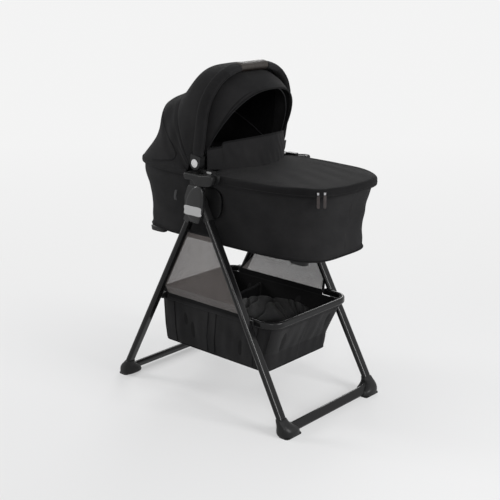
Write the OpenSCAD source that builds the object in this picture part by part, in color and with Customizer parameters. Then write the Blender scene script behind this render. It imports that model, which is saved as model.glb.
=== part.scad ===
// Bassinet with a folding hood, resting on a folding stand with a fabric basket.
// +X points to the toe end, +Y to the far side, +Z up; the floor is at z = 0.

/* [Stand frame] */
// Place of the stand's fold axis along the length
hub_x = -32.2; // [-45:0.1:-20]
// Height of the fold axis above the floor
pivot_z = 672; // [640:1:700]
// Angle of each leg from upright
leg_angle = 28.4; // [25:0.1:32]
// Distance of a leg's centre line from the fold axis
leg_offset = 12; // [12:0.5:14]
// How far a leg's centre line stands outside the tub's rim, at the fold axis
leg_out = 1; // [0:0.25:4]
// Outward splay of each leg in its frame's plane
leg_splay = 0.95; // [0.4:0.05:1.4]
// Long side of the flat-oval tube
tube_wide = 31; // [26:0.5:31]
// Short side of the flat-oval tube
tube_thick = 16; // [13:0.5:17]
// Wall of the flat-oval tube
tube_wall = 1.5; // [1:0.1:2.5]
// Bend radius of the frame's lower corners, at the centre line
corner_bend = 40; // [34:1:60]
// Height of the floor bar's centre line
bar_height = 20; // [18:0.5:26]

/* [Hub] */
// Radius of the inner hub's disc
disc_r = 27; // [24:0.5:29]
// Radius of the fold bolt
bolt_r = 6; // [5:0.25:8]
// Radial running clearance of the fold bolt
bolt_clear = 0.06; // [0.03:0.01:0.1]
// Wall of the collar round a leg
collar_wall = 3.5; // [2.5:0.25:4.5]
// Length of each leg collar
collar_length = 40; // [30:1:50]
// Distance of the head leg's collar from the fold axis
collar_start = 34; // [33:1:44]
// Thickness of the outer hub's cover
cover_thick = 13; // [12:0.5:16]
// Gap between the turning hub and the outer cover
hub_gap = 0.6; // [0.4:0.1:1]
// Largest width of the outer cover
cover_width = 78; // [72:1:84]
// Height of the outer cover above the fold axis
cover_up = 64; // [58:1:64]
// Height of the outer cover below the fold axis
cover_down = 56; // [50:1:64]

/* [Feet] */
// Length of a corner cap across the stand
cap_length = 76; // [70:1:90]
// Width of a corner cap's sole
cap_width = 44; // [34:1:48]
// Distance of the cap's outer end from the leg's centre line
cap_outer = 21; // [19:0.5:26]
// Thickness of the rubber sole pad
pad_thick = 3; // [2:0.5:4]

/* [Basket] */
// Height of the basket ring's centre line
ring_z = 325; // [310:1:340]
// Height of the ring's flat-oval section
ring_tall = 22; // [18:1:24]
// Thickness of the ring's flat-oval section
ring_thick = 12; // [9:0.5:13]
// Gap between a ring's arm and the leg beside it
ring_gap = 3; // [2:0.5:6]
// Reach of the toe ring's centre line from the fold axis
ring_toe = 289; // [265:1:300]
// Reach of the head ring's centre line from the fold axis
ring_head = 243; // [225:1:260]
// Bend radius of the ring's corners
ring_bend = 48; // [30:1:70]
// Height of the basket's floor
basket_z = 146; // [120:1:180]
// Half width of the basket at its floor
basket_half_low = 155; // [140:1:165]
// Gap between a ring's arm and the basket's top edge
basket_side = 9; // [7:0.5:14]
// Thickness of the basket's fabric walls
basket_wall = 3; // [2:0.5:5]
// Length of the basket's floor
basket_length = 463; // [430:1:475]
// Thickness of the basket's stiff floor board
board_thick = 4; // [3:0.5:6]
// Thickness of the mesh side panels
mesh_thick = 2; // [1.5:0.1:3]

/* [Tub] */
// Place of the tub's centre ahead of the fold axis
tub_shift = 35; // [28:1:40]
// Half length of the tub at its rim
tub_a = 417.8; // [400:0.1:430]
// Half width of the tub at its rim
tub_b = 208; // [200:1:209]
// How far the tub's ends pull in at the waist
waist_in_a = 42; // [30:1:48]
// How far the tub's sides pull in at the waist
waist_in_b = 41; // [30:1:44]
// Depth of the tub, from its rim to its underside
tub_tall = 227; // [219:1:235]
// Height of the tub's rim above the fold axis
rim_rise = 93; // [85:1:94]
// Thickness of the tub's padded fabric wall
tub_wall = 3; // [2:0.5:4]
// Thickness of the tub's floor board
floor_thick = 8; // [6:0.5:10]
// Thickness of the mattress
mattress_thick = 36; // [25:1:45]
// Width of the rim frame's section
rim_wide = 11; // [8:0.5:13]
// Height of the rim frame's section
rim_tall = 15; // [10:0.5:18]
// Height of the feet under the tub
glide_tall = 12; // [8:1:14]

/* [Apron and wind flap] */
// Height of the apron's crown above the rim
apron_crown = 13; // [8:1:18]
// Depth of the apron's skirt below the rim
apron_skirt = 17; // [12:1:22]
// Thickness of the apron
apron_thick = 3; // [2:0.5:4]
// Place of the apron's open end ahead of the fold axis
apron_start = 36; // [30:1:50]
// Height of the wind flap at its middle
flap_tall = 90; // [80:1:105]
// How much lower the wind flap is at its ends
flap_drop = 20; // [0:1:30]
// Reach of the wind flap's curve across the tub
flap_reach = 90; // [70:1:96]
// Thickness of the wind flap
flap_thick = 2; // [1.5:0.25:2.5]

/* [Hood] */
// Place of the hood's hinge behind the fold axis
hinge_back = 23.8; // [18:0.2:30]
// Height of the hood's hinge above the tub's rim
hinge_rise = 32; // [30:1:37]
// Angle of the handle arch above the toe direction
arch_angle = 80; // [76:0.5:84]
// Radius of the handle arch's centre line at its top
arch_r = 292; // [280:1:305]
// How far the handle's arms stand inside the tub's rim
arch_in = 13; // [11:0.5:16]
// Bend radius of the handle arch
arch_bend = 146; // [120:1:165]
// Width of the handle's padded sleeve
sleeve_wide = 42; // [36:1:44]
// Thickness of the handle's padded sleeve
sleeve_thick = 22; // [20:0.5:22]
// Radius of the handle's inner tube
handle_tube_r = 7; // [5:0.5:8]
// Width of the leather grip
grip_wide = 37; // [32:1:42]
// Thickness of the leather grip
grip_thick = 29; // [26:1:30]
// Part of each bend that the grip covers
grip_turn = 5; // [2:1:12]
// Radius of the hood's hinge pin
hood_pin_r = 5; // [4:0.25:6]
// Radial running clearance on the hood's hinge pin
hood_pin_clear = 0.06; // [0.03:0.01:0.1]
// Thickness of the canopy's fabric
canopy_thick = 3; // [2:0.5:4]
// How far the canopy stands outside the tub's rim at its lower edge
canopy_over = 5; // [4.5:0.5:8]
// Angle of the canopy's fold behind the handle
fold_back = 43; // [38:1:48]
// How deep the canopy's fold lies inside the handle's reach
fold_deep = 42; // [20:1:50]
// Angle of the rear bow behind the handle
bow_back = 66; // [60:1:70]
// Radius of the bows' wire
bow_r = 2; // [1.5:0.25:2.25]

/* [Visor] */
// How far the visor's crown lies inside the handle's centre line
visor_drop = 18; // [16:0.5:26]
// How much further in the visor's front edge lies
visor_dip = 9; // [0:1:20]
// Angle of the visor's front edge above the toe direction
visor_front = 58; // [54:1:66]
// Angle of the visor's rear edge above the toe direction
visor_back = 82; // [78:1:88]
// Thickness of the visor's fabric
visor_thick = 2.5; // [2:0.5:3]

/* [Buttons and pulls] */
// Radius of the hood buttons
button_r = 8.5; // [7:0.5:9]
// Travel of the hood buttons and the release tabs
button_travel = 3; // [2:0.5:3.5]
// Gap round a button or tab
button_gap = 0.25; // [0.2:0.05:0.5]
// Length of a zip pull
pull_length = 38; // [34:1:48]

/* [Hidden] */

$fn = 48;
near = -1;
far = 1;
head = -1;
toe = 1;

// Reach of the long cutters, past anything in the model
far_away = 1000;

frame_black = "#15161a";
plastic_black = "#202124";
fabric_black = "#26262a";
fabric_dark = "#1b1b1e";
leather_brown = "#4b413a";
plate_white = "#e8e8e6";
rubber_black = "#101012";

leg_half_top = tub_b + leg_out;
arch_half = tub_b - arch_in;
// Distance from the fold axis to the floor bar's centre line, along the frame's plane
frame_drop = (pivot_z + leg_offset * sin(leg_angle) - bar_height) / cos(leg_angle);
// Centre of the corner's bend, placed so that the leg meets the hub where it should
bend_up = frame_drop - corner_bend;
bend_half = leg_half_top + bend_up * tan(leg_splay) - corner_bend;
// Joint between leg and corner, hidden in the cap
leg_joint = 0.6;

tub_x = hub_x + tub_shift;
rim_z = pivot_z + rim_rise;
tub_low = rim_z - tub_tall;
hinge_x = hub_x - hinge_back;
hinge_z = rim_z + hinge_rise;
cover_in = leg_half_top + tube_wide / 2 + collar_wall + hub_gap;
cover_out = cover_in + cover_thick;
collar_in = leg_half_top - tube_wide / 2 - collar_wall;
disc_in = collar_in + 5;
disc_out = cover_in - hub_gap;

// Half distance between the legs' centre lines at a height
function leg_half(z) = leg_half_top + (pivot_z - z) / cos(leg_angle) * tan(leg_splay);
// Distance of a leg's centre line from the fold axis, level with a height
function leg_reach(z) = leg_offset * cos(leg_angle)
    + (pivot_z + leg_offset * sin(leg_angle) - z) * tan(leg_angle);

// ---------- shared shapes ----------

// Flat-oval outline, its long side along y
module oval(wide, thick) {
    square([thick, wide - thick], center = true);
    for (s = [-1, 1])
        translate([0, s * (wide - thick) / 2]) circle(d = thick);
}

// Flat-oval outline, its long side along x
module flat_oval(wide, thick) {
    rotate(90) oval(wide, thick);
}

module tube_outline() {
    difference() {
        oval(tube_wide, tube_thick);
        oval(tube_wide - 2 * tube_wall, tube_thick - 2 * tube_wall);
    }
}

// A superellipse's unit point at an angle
function super(t, n) = [cos(t), sin(t)] / pow(pow(abs(cos(t)), n) + pow(abs(sin(t)), n), 1 / n);

// Points of a superellipse ring, level at height z
function ring(x0, a, b, n, z, count = 64) = [
    for (i = [0 : count - 1])
        let (p = super(360 * (i + 0.5) / count, n))
            [x0 + a * p[0], b * p[1], z]
];

// Points of a ring with straight sides and round corners, level at height z
function box_ring(x0, a, b, r, z, per = 7) = [
    for (c = [0 : 3], k = [0 : per - 1])
        let (t = 90 * (c + k / (per - 1)), sx = c == 0 || c == 3 ? 1 : -1, sy = c < 2 ? 1 : -1)
            [x0 + sx * (a - r) + r * cos(t), sy * (b - r) + r * sin(t), z]
];

function flat(points) = [for (p = points) [p[0], p[1]]];

function joined(rows) = [for (row = rows) each row];

// Closed solid through level rings, from the lowest up
module loft(rings) {
    count = len(rings[0]);
    last = len(rings) - 1;
    sides = [
        for (k = [0 : last - 1], i = [0 : count - 1])
            [k * count + i, (k + 1) * count + i, (k + 1) * count + (i + 1) % count, k * count + (i + 1) % count]
    ];
    bottom = [for (i = [0 : count - 1]) i];
    top = [for (i = [0 : count - 1]) last * count + count - 1 - i];
    polyhedron(points = joined(rings), faces = concat(sides, [bottom], [top]), convexity = 8);
}

// Closed sheet between an outer and an inner grid of points
module sheet(outer, inner) {
    rows = len(outer);
    cols = len(outer[0]);
    size = rows * cols;
    skin = [
        for (r = [0 : rows - 2], c = [0 : cols - 2])
            [r * cols + c, r * cols + c + 1, (r + 1) * cols + c + 1, (r + 1) * cols + c]
    ];
    lining = [
        for (r = [0 : rows - 2], c = [0 : cols - 2])
            [size + r * cols + c, size + (r + 1) * cols + c,
             size + (r + 1) * cols + c + 1, size + r * cols + c + 1]
    ];
    row_edges = [
        for (c = [0 : cols - 2])
            each [[c, size + c, size + c + 1, c + 1],
                  [(rows - 1) * cols + c, (rows - 1) * cols + c + 1,
                   size + (rows - 1) * cols + c + 1, size + (rows - 1) * cols + c]]
    ];
    col_edges = [
        for (r = [0 : rows - 2])
            each [[r * cols, (r + 1) * cols, size + (r + 1) * cols, size + r * cols],
                  [r * cols + cols - 1, size + r * cols + cols - 1,
                   size + (r + 1) * cols + cols - 1, (r + 1) * cols + cols - 1]]
    ];
    polyhedron(
        points = concat(joined(outer), joined(inner)),
        faces = concat(skin, lining, row_edges, col_edges),
        convexity = 8
    );
}

// An arch: a superellipse half from near to far in the plane of base and crown
function arch_row(base, crown, half, n, stop = 89, cols = 32) = [
    for (i = [0 : cols])
        let (p = super(-stop + 2 * stop * i / cols, n))
            [base[0] + (crown[0] - base[0]) * p[0], half * p[1], base[1] + (crown[1] - base[1]) * p[0]]
];

// The same arch set inward by a thickness
function arch_inset(base, crown, half, n, thick, stop = 89, cols = 32) =
    let (reach = norm(crown - base), short = (reach - thick) / reach)
        arch_row(base, base + (crown - base) * short, half - thick, n, stop, cols);

// Wire along an arch, as rings of points carried along it
module arch_wire(base, crown, half, n, wire_r, stop) {
    cols = 36;
    sides = 8;
    path = arch_row(base, crown, half, n, stop, cols);
    normal_to = cross([0, 1, 0], [crown[0] - base[0], 0, crown[1] - base[1]]);
    side = normal_to / norm(normal_to);
    rings = [
        for (i = [0 : cols])
            let (before = path[max(i - 1, 0)], after = path[min(i + 1, cols)],
                 along = (after - before) / norm(after - before),
                 across = cross(along, side))
                [for (k = [0 : sides - 1])
                    path[i] + wire_r * (cos(360 * k / sides) * side + sin(360 * k / sides) * across)]
    ];
    loft(rings);
}

// Stand frame's own axes: x outward from the frame's plane, y across, z up the legs
module in_frame(end) {
    translate([hub_x, 0, pivot_z])
        mirror([end == head ? 1 : 0, 0, 0])
            rotate([0, -leg_angle, 0])
                children();
}

// A leg's own axes, with z up the leg from the fold axis's level
module on_leg(end, side) {
    in_frame(end)
        mirror([0, side == near ? 1 : 0, 0])
            translate([leg_offset, leg_half_top, 0])
                rotate([leg_splay, 0, 0])
                    children();
}

// Stands children on the near or the far side
module on_side(side) {
    mirror([0, side == near ? 1 : 0, 0]) children();
}

// ---------- stand ----------

// Legs of one end frame, from the corner's joint up into the hub
module frame_legs(end, leg_top) {
    color(frame_black) in_frame(end)
        for (side = [near, far])
            on_side(side)
                translate([leg_offset, bend_half + corner_bend, -bend_up])
                    rotate([leg_splay, 0, 0])
                        translate([0, 0, leg_joint])
                            linear_extrude(height = (bend_up - leg_top) / cos(leg_splay) - leg_joint)
                                tube_outline();
}

// Floor bar of one end frame, bent up at both corners
module floor_bar(end) {
    color(frame_black) in_frame(end) {
        for (side = [near, far])
            on_side(side)
                corner_bar(tube_wide, tube_thick);
        translate([leg_offset, -bend_half, -frame_drop])
            rotate([-90, 0, 0])
                linear_extrude(height = 2 * bend_half)
                    oval(tube_wide, tube_thick);
    }
}

// Quarter bend at a corner, its long side in the frame's plane
module corner_bar(wide, thick) {
    translate([leg_offset, bend_half, -bend_up])
        rotate([90, 0, 90])
            rotate(-90)
                rotate_extrude(angle = 90)
                    translate([corner_bend, 0]) flat_oval(wide, thick);
}

module head_legs() { frame_legs(head, collar_start + 4); }
module toe_legs() { frame_legs(toe, disc_r + 4); }
module head_floor_bar() { floor_bar(head); }
module toe_floor_bar() { floor_bar(toe); }

cap_forward = 4.3;
foot_x = leg_reach(bar_height);
foot_y = leg_half(bar_height);
cap_centre_y = foot_y + cap_outer - cap_length / 2;

// Outline of a sole, rounded more at its outer end
module sole_outline(inset) {
    hull() {
        for (s = [-1, 1]) {
            translate([s * (cap_width / 2 - 13), cap_length / 2 - 13]) circle(r = 13 - inset, $fn = 32);
            translate([s * (cap_width / 2 - 10), -cap_length / 2 + 10]) circle(r = 10 - inset, $fn = 32);
        }
    }
}

// Corner cap: a boot that wraps the bend, with a collar up the leg and one along the bar
module foot_cap(end, side) {
    grip_wall = 3.2;
    color(plastic_black) difference() {
        union() {
            hull() {
                translate([hub_x + end * (foot_x + cap_forward), 0, pad_thick])
                    on_side(side) translate([0, cap_centre_y, 0])
                        linear_extrude(height = 7) sole_outline(0);
                in_frame(end) on_side(side)
                    translate([leg_offset, bend_half + 4, -bend_up - 3])
                        rotate([90, 0, 90])
                            linear_extrude(height = tube_thick + 2 * grip_wall - 4, center = true)
                                intersection() {
                                    circle(r = corner_bend + tube_wide / 2 - 3, $fn = 48);
                                    translate([0, -100]) square([100, 100]);
                                }
            }
            in_frame(end) on_side(side) {
                translate([leg_offset, bend_half + corner_bend, -bend_up])
                    rotate([leg_splay, 0, 0])
                        translate([0, 0, -6])
                            linear_extrude(height = 15)
                                oval(tube_wide + 2 * grip_wall, tube_thick + 2 * grip_wall);
                translate([leg_offset, bend_half - 14, -frame_drop])
                    rotate([-90, 0, 0])
                        linear_extrude(height = 24)
                            oval(tube_wide + 2 * grip_wall, tube_thick + 2 * grip_wall);
            }
        }
        in_frame(end) on_side(side) {
            translate([leg_offset, bend_half + corner_bend, -bend_up])
                rotate([leg_splay, 0, 0])
                    translate([0, 0, -2])
                        linear_extrude(height = 80) oval(tube_wide + 0.2, tube_thick + 0.2);
            corner_bar(tube_wide, tube_thick);
            translate([leg_offset, bend_half - 90, -frame_drop])
                rotate([-90, 0, 0])
                    linear_extrude(height = 90) oval(tube_wide, tube_thick);
        }
        translate([-far_away, -far_away, -far_away]) cube([2 * far_away, 2 * far_away, far_away + pad_thick]);
    }
}

// Rubber soles, one under each of an end's two caps
module foot_pads(end) {
    color(rubber_black)
        for (side = [near, far])
            on_side(side)
                translate([hub_x + end * (foot_x + cap_forward), cap_centre_y, 0])
                    linear_extrude(height = pad_thick) sole_outline(2);
}

module head_foot_near() { foot_cap(head, near); }
module head_foot_far() { foot_cap(head, far); }
module toe_foot_near() { foot_cap(toe, near); }
module toe_foot_far() { foot_cap(toe, far); }
module head_foot_pads() { foot_pads(head); }
module toe_foot_pads() { foot_pads(toe); }

// ---------- hubs ----------

// Shield outline of the outer cover, in the plane of the length and the height
module shield(inset) {
    hull() {
        for (s = [-1, 1]) {
            translate([s * (cover_width * 0.34 - 12), cover_up - 12]) circle(r = 12 - inset, $fn = 32);
            translate([s * (cover_width / 2 - 16), 22]) circle(r = 16 - inset, $fn = 32);
            translate([s * (cover_width / 2 - 16), -8]) circle(r = 16 - inset, $fn = 32);
            translate([s * (cover_width * 0.28 - 10), -cover_down + 10]) circle(r = 10 - inset, $fn = 32);
        }
    }
}

// Lays an outline in the plane of the length and height, growing outward from y
module on_wall(y, height) {
    translate([0, y, 0])
        rotate([90, 0, 0])
            mirror([0, 0, 1])
                linear_extrude(height = height)
                    children();
}

tongue_wide = 30;
tongue_thick = 6;
tongue_depth = 34;
tongue_gap = 0.3;
tongue_y = cover_in + 2.5 + tongue_gap + tongue_thick / 2;

module outer_hub(side) {
    color(plastic_black) difference() {
        union() {
            translate([hub_x, 0, pivot_z]) on_side(side)
                hull() {
                    on_wall(cover_in, cover_thick - 5) shield(0);
                    on_wall(cover_out - 0.5, 0.5) shield(4);
                }
            // Collar round the head leg, carried down from the cover
            intersection() {
                on_leg(head, side)
                    translate([0, 0, -collar_start - collar_length])
                        linear_extrude(height = collar_length)
                            union() {
                                oval(tube_wide + 2 * collar_wall, tube_thick + 2 * collar_wall);
                                translate([-tube_thick / 2 - collar_wall, 0])
                                    square([tube_thick + 2 * collar_wall, 40]);
                            }
                translate([hub_x - 200, side == near ? -cover_in - 1 : 0, 0])
                    cube([far_away, cover_in + 1, far_away]);
            }
        }
        on_leg(head, side)
            translate([0, 0, -collar_start - collar_length - 1])
                linear_extrude(height = collar_length + 1 - 4) oval(tube_wide, tube_thick);
        translate([hub_x, 0, pivot_z]) on_side(side) {
            on_wall(cover_in - 5, 5 + 7) circle(r = bolt_r);
            translate([-tongue_wide / 2 - tongue_gap, tongue_y - tongue_thick / 2 - tongue_gap, cover_up - tongue_depth])
                cube([tongue_wide + 2 * tongue_gap, tongue_thick + 2 * tongue_gap, tongue_depth + 1]);
        }
    }
}

module outer_hub_near() { outer_hub(near); }
module outer_hub_far() { outer_hub(far); }

// Blank white plates on the covers
plate_wide = 68;
plate_tall = 29;
module hub_plates() {
    color(plate_white)
        for (side = [near, far])
            translate([hub_x, 0, pivot_z - 16])
                on_side(side)
                    on_wall(cover_out, 1.4)
                        hull()
                            for (sx = [-1, 1], sz = [-1, 1])
                                translate([sx * (plate_wide / 2 - 7), sz * (plate_tall / 2 - 7)]) circle(r = 7, $fn = 32);
}

// Fold bolt: shank through the inner hub, with its head on the inner side
module fold_bolt(side) {
    color("#6c6e72")
        translate([hub_x, 0, pivot_z])
            on_side(side) {
                on_wall(disc_in - 0.4, cover_in + 7 - disc_in + 0.4) circle(r = bolt_r);
                on_wall(disc_in - 3.4, 3) circle(r = bolt_r + 4);
            }
}

module fold_bolt_near() { fold_bolt(near); }
module fold_bolt_far() { fold_bolt(far); }

// Inner hub: a disc on the fold axis with the toe leg's collar
module inner_hub(side) {
    collar_low = disc_r - 6 + collar_length;
    color(plastic_black) difference() {
        union() {
            translate([hub_x, 0, pivot_z]) on_side(side)
                on_wall(disc_in, disc_out - disc_in) circle(r = disc_r);
            on_leg(toe, side)
                translate([0, 0, -collar_low])
                    linear_extrude(height = collar_low - disc_r / 2)
                        oval(tube_wide + 2 * collar_wall, tube_thick + 2 * collar_wall);
        }
        on_leg(toe, side)
            translate([0, 0, -collar_low - 1])
                linear_extrude(height = collar_low + 1 - disc_r - 4) oval(tube_wide, tube_thick);
        translate([hub_x, 0, pivot_z]) on_side(side) {
            on_wall(disc_in - 10, disc_out - disc_in + 20) circle(r = bolt_r + bolt_clear);
            on_wall(disc_out, 20) square(400, center = true);
            on_wall(collar_in - 20, 20) square(400, center = true);
        }
    }
}

module inner_hub_near() { inner_hub(near); }
module inner_hub_far() { inner_hub(far); }

// ---------- basket ----------

ring_arm_start = leg_reach(ring_z) - 16;
ring_half = leg_half(ring_z) - tube_wide / 2 - ring_gap - ring_thick / 2;

// U-shaped bar that carries one end of the basket
module basket_ring(end, reach) {
    color(frame_black)
        translate([hub_x, 0, ring_z])
            mirror([end == head ? 1 : 0, 0, 0]) {
                for (side = [near, far])
                    on_side(side) {
                        translate([ring_arm_start, ring_half, 0])
                            rotate([90, 0, 90])
                                linear_extrude(height = reach - ring_bend - ring_arm_start)
                                    oval(ring_tall, ring_thick);
                        translate([reach - ring_bend, ring_half - ring_bend, 0])
                            rotate_extrude(angle = 90)
                                translate([ring_bend, 0]) oval(ring_tall, ring_thick);
                    }
                translate([reach, -(ring_half - ring_bend), 0])
                    rotate([-90, 0, 0])
                        linear_extrude(height = 2 * (ring_half - ring_bend))
                            oval(ring_tall, ring_thick);
            }
}

module head_basket_ring() { basket_ring(head, ring_head); }
module toe_basket_ring() { basket_ring(toe, ring_toe); }

// Blocks that join a ring's arms to the inner faces of the legs
module ring_brackets(end) {
    color(plastic_black)
        for (side = [near, far])
            difference() {
                translate([hub_x, 0, ring_z])
                    mirror([end == head ? 1 : 0, 0, 0])
                        on_side(side)
                            translate([ring_arm_start + 2, ring_half + ring_thick / 2 - 0.01, -ring_tall / 2 + 2])
                                cube([28, leg_half(ring_z) - tube_wide / 2 - ring_half - ring_thick / 2 + 5, ring_tall - 4]);
                on_leg(end, side)
                    translate([0, 0, -far_away]) linear_extrude(height = far_away) oval(tube_wide, tube_thick);
            }
}

module head_ring_brackets() { ring_brackets(head); }
module toe_ring_brackets() { ring_brackets(toe); }

basket_top = ring_z - 7;
basket_half_top = ring_half - ring_thick / 2 - basket_side;
basket_gap = 0.5;
basket_toe = ring_toe - ring_thick / 2 - basket_gap;
basket_head = ring_head - ring_thick / 2 - basket_gap;
basket_mid_top = hub_x + (basket_toe - basket_head) / 2;
basket_half_len = (basket_toe + basket_head) / 2;
basket_mid_low = hub_x - 4;

basket_flare = 6;
basket_corner = 24;
basket_top_corner = 50;

// One level of the basket, set in by a wall: k runs from 0 at the floor to 3 at the top
function basket_ring_at(k, wall, z) =
    k == 0 ? box_ring(basket_mid_low, basket_length / 2 - 4 - wall, basket_half_low - 4 - wall, basket_corner - wall, z)
    : k == 1 ? box_ring(basket_mid_low, basket_length / 2 - wall, basket_half_low - wall, basket_corner - wall, z)
    : k == 2 ? box_ring(basket_mid_low + 3, basket_length / 2 + basket_flare - wall, basket_half_low + basket_flare - wall,
        basket_corner + 4 - wall, z)
    : box_ring(basket_mid_top, basket_half_len - wall, basket_half_top - wall, basket_top_corner - wall, z);

// The basket: an open fabric tub that flares to its ring
module basket() {
    color(fabric_black) difference() {
        loft([
            basket_ring_at(0, 0, basket_z),
            basket_ring_at(1, 0, basket_z + 8),
            basket_ring_at(2, 0, basket_z + 60),
            basket_ring_at(3, 0, basket_top)
        ]);
        loft([
            basket_ring_at(0, basket_wall, basket_z + basket_wall),
            basket_ring_at(1, basket_wall, basket_z + 8 + basket_wall),
            basket_ring_at(2, basket_wall, basket_z + 60),
            basket_ring_at(3, basket_wall, basket_top + 1)
        ]);
    }
}

// Stiff board on the basket's floor
module basket_board() {
    color(fabric_dark)
        translate([0, 0, basket_z + basket_wall + 0.2])
            linear_extrude(height = board_thick)
                polygon(flat(box_ring(basket_mid_low, basket_length / 2 - 14, basket_half_low - 14, basket_corner - 10, 0)));
}

// Mesh side panel between a head leg and a toe leg: flat beside the legs, leaning in to the basket below
mesh_high = pivot_z - 96;
mesh_fold = ring_z + 75;
mesh_low = ring_z + 1;
mesh_edge = tube_thick / 2 + 0.6;

function mesh_reach(z) = leg_reach(z) - mesh_edge / cos(leg_angle);
function mesh_row(z, y) = [for (x = [-1, -0.5, 0, 0.5, 1]) [hub_x + x * mesh_reach(z), y, z]];

module mesh_panel(side) {
    low_y = basket_half_top + 1;
    rows = [[mesh_high, leg_half(mesh_high)], [mesh_fold, leg_half(mesh_fold)], [mesh_low, low_y]];
    color("#3c3836")
        on_side(side)
            sheet(
                [for (r = rows) mesh_row(r[0], r[1] + mesh_thick)],
                [for (r = rows) mesh_row(r[0], r[1])]
            );
}

module mesh_panel_near() { mesh_panel(near); }
module mesh_panel_far() { mesh_panel(far); }

// ---------- tub ----------

// Roundness of the tub's corners, at the floor and at the rim
floor_n = 4.3;
rim_n = 3.25;
// Share of the tub's height up to which its sides stand upright
waist_k = 0.2;

// How far the tub is pulled in at a share of its height: fully up to the waist, not at all at the rim
function tub_in(k) = k < waist_k ? 1 : 1 - pow((k - waist_k) / (1 - waist_k), 1.7);
function tub_ring(k, wall, z) = ring(
    tub_x,
    tub_a - waist_in_a * tub_in(k) - wall,
    tub_b - waist_in_b * tub_in(k) - wall,
    floor_n - (floor_n - rim_n) * k,
    z,
    72
);

levels = [0.05, 0.2, 0.36, 0.55, 0.75, 0.9, 1];

// Padded fabric body of the tub, open at the top
module tub_shell() {
    color(fabric_black) difference() {
        loft(concat(
            [tub_ring(0, 9, tub_low), tub_ring(0.02, 3, tub_low + 3)],
            [for (k = levels) tub_ring(k, 0, tub_low + k * tub_tall)]
        ));
        loft(concat(
            [tub_ring(0, 9 + tub_wall, tub_low + tub_wall)],
            [for (k = levels) tub_ring(k, tub_wall, tub_low + k * tub_tall + (k < 0.1 ? tub_wall : 0) + (k == 1 ? 1 : 0))]
        ));
    }
}

// Stiff board that the mattress lies on
module tub_floor() {
    color(fabric_dark)
        loft([
            tub_ring(0.02, 13 + tub_wall, tub_low + tub_wall + 0.3),
            tub_ring(0.02, 13 + tub_wall, tub_low + tub_wall + 0.3 + floor_thick)
        ]);
}

lining_low = tub_low + tub_wall + floor_thick + 1.3;
lining_gap = tub_wall + rim_wide + 3;
// Share of the tub's height at which the rim frame is fitted
rim_k = 0.9;

// Soft inner lining, open at the top
module tub_lining() {
    lining_wall = 2;
    steps = [0.12, 0.3, 0.5, 0.7, 0.88, 0.985];
    color("#3a3a3f") difference() {
        loft(concat(
            [tub_ring(0.08, lining_gap + 6, lining_low)],
            [for (k = steps) tub_ring(min(k, rim_k), lining_gap, tub_low + k * tub_tall)]
        ));
        loft(concat(
            [tub_ring(0.09, lining_gap + 6 + lining_wall, lining_low + lining_wall)],
            [for (k = steps)
                tub_ring(min(k, rim_k), lining_gap + lining_wall,
                    tub_low + k * tub_tall + (k < 0.2 ? lining_wall : k > 0.98 ? 1 : 0))]
        ));
    }
}

// Oval frame under the rim, which holds the fabric open
module rim_frame() {
    color("#8a8c90")
        translate([0, 0, rim_z - 3 - rim_tall])
            linear_extrude(height = rim_tall)
                difference() {
                    polygon(flat(tub_ring(rim_k, tub_wall + 0.5, 0)));
                    polygon(flat(tub_ring(rim_k, tub_wall + 0.5 + rim_wide, 0)));
                }
}

module mattress() {
    low = lining_low + 2.6;
    side_gap = lining_gap + 4.5;
    color("#d9d9d6")
        loft([
            tub_ring(0.3, side_gap + 10, low),
            tub_ring(0.3, side_gap + 2, low + mattress_thick * 0.25),
            tub_ring(0.3, side_gap + 2, low + mattress_thick * 0.75),
            tub_ring(0.3, side_gap + 12, low + mattress_thick)
        ]);
}

glide_x = tub_a * 0.7;
glide_y = tub_b * 0.6;
glide_r = glide_tall;

// Four low feet that the tub stands on when it is off the stand
module tub_glides() {
    color(plastic_black)
        for (sx = [-1, 1], side = [near, far])
            on_side(side)
                translate([tub_x + sx * glide_x, glide_y, tub_low - glide_tall])
                    difference() {
                        linear_extrude(height = glide_tall)
                            hull()
                                for (s = [-1, 1])
                                    translate([s * 2 * glide_r, 0]) circle(r = glide_r, $fn = 32);
                        translate([0, 0, -0.01]) linear_extrude(height = 2) square([2.5 * glide_r, glide_r], center = true);
                    }
}

// ---------- apron and wind flap ----------

apron_gap = 1.2;

function apron_ring(share, out, z) = ring(tub_x, (tub_a + out) * share, (tub_b + out) * share, rim_n, z, 72);

module apron_dome(out, drop) {
    loft([
        apron_ring(1, out, rim_z - apron_skirt - (drop > 0 ? 1 : 0)),
        apron_ring(1, out, rim_z + 1 + apron_thick - drop),
        apron_ring(0.985, out, rim_z + 3.4 + apron_thick - drop),
        apron_ring(0.9, out, rim_z + 1 + apron_thick - drop + apron_crown * 0.42),
        apron_ring(0.7, out, rim_z + 1 + apron_thick - drop + apron_crown * 0.78),
        apron_ring(0.4, out, rim_z + 1 + apron_thick - drop + apron_crown)
    ]);
}

adapter_front = 92;

// Zipped cover over the toe half of the tub
module apron() {
    color(fabric_black) difference() {
        apron_dome(apron_gap + apron_thick, 0);
        apron_dome(apron_gap, apron_thick);
        translate([hub_x + apron_start - far_away, -far_away, 0]) cube([far_away, 2 * far_away, 2 * far_away]);
        for (side = [near, far])
            on_side(side) {
                translate([hub_x, tub_b, rim_z - 60]) cube([adapter_front + 3, 100, 120]);
                translate([hub_x, housing_in - 1, rim_z - 60])
                    cube([tab_x + housing_half - hub_x + 1, 100, 120]);
            }
    }
}

flap_x = hinge_x + 32;
flap_half = arch_half - sleeve_thick / 2 - 0.8;
flap_low = rim_z + apron_thick + 1 + apron_crown + 0.6;

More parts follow.
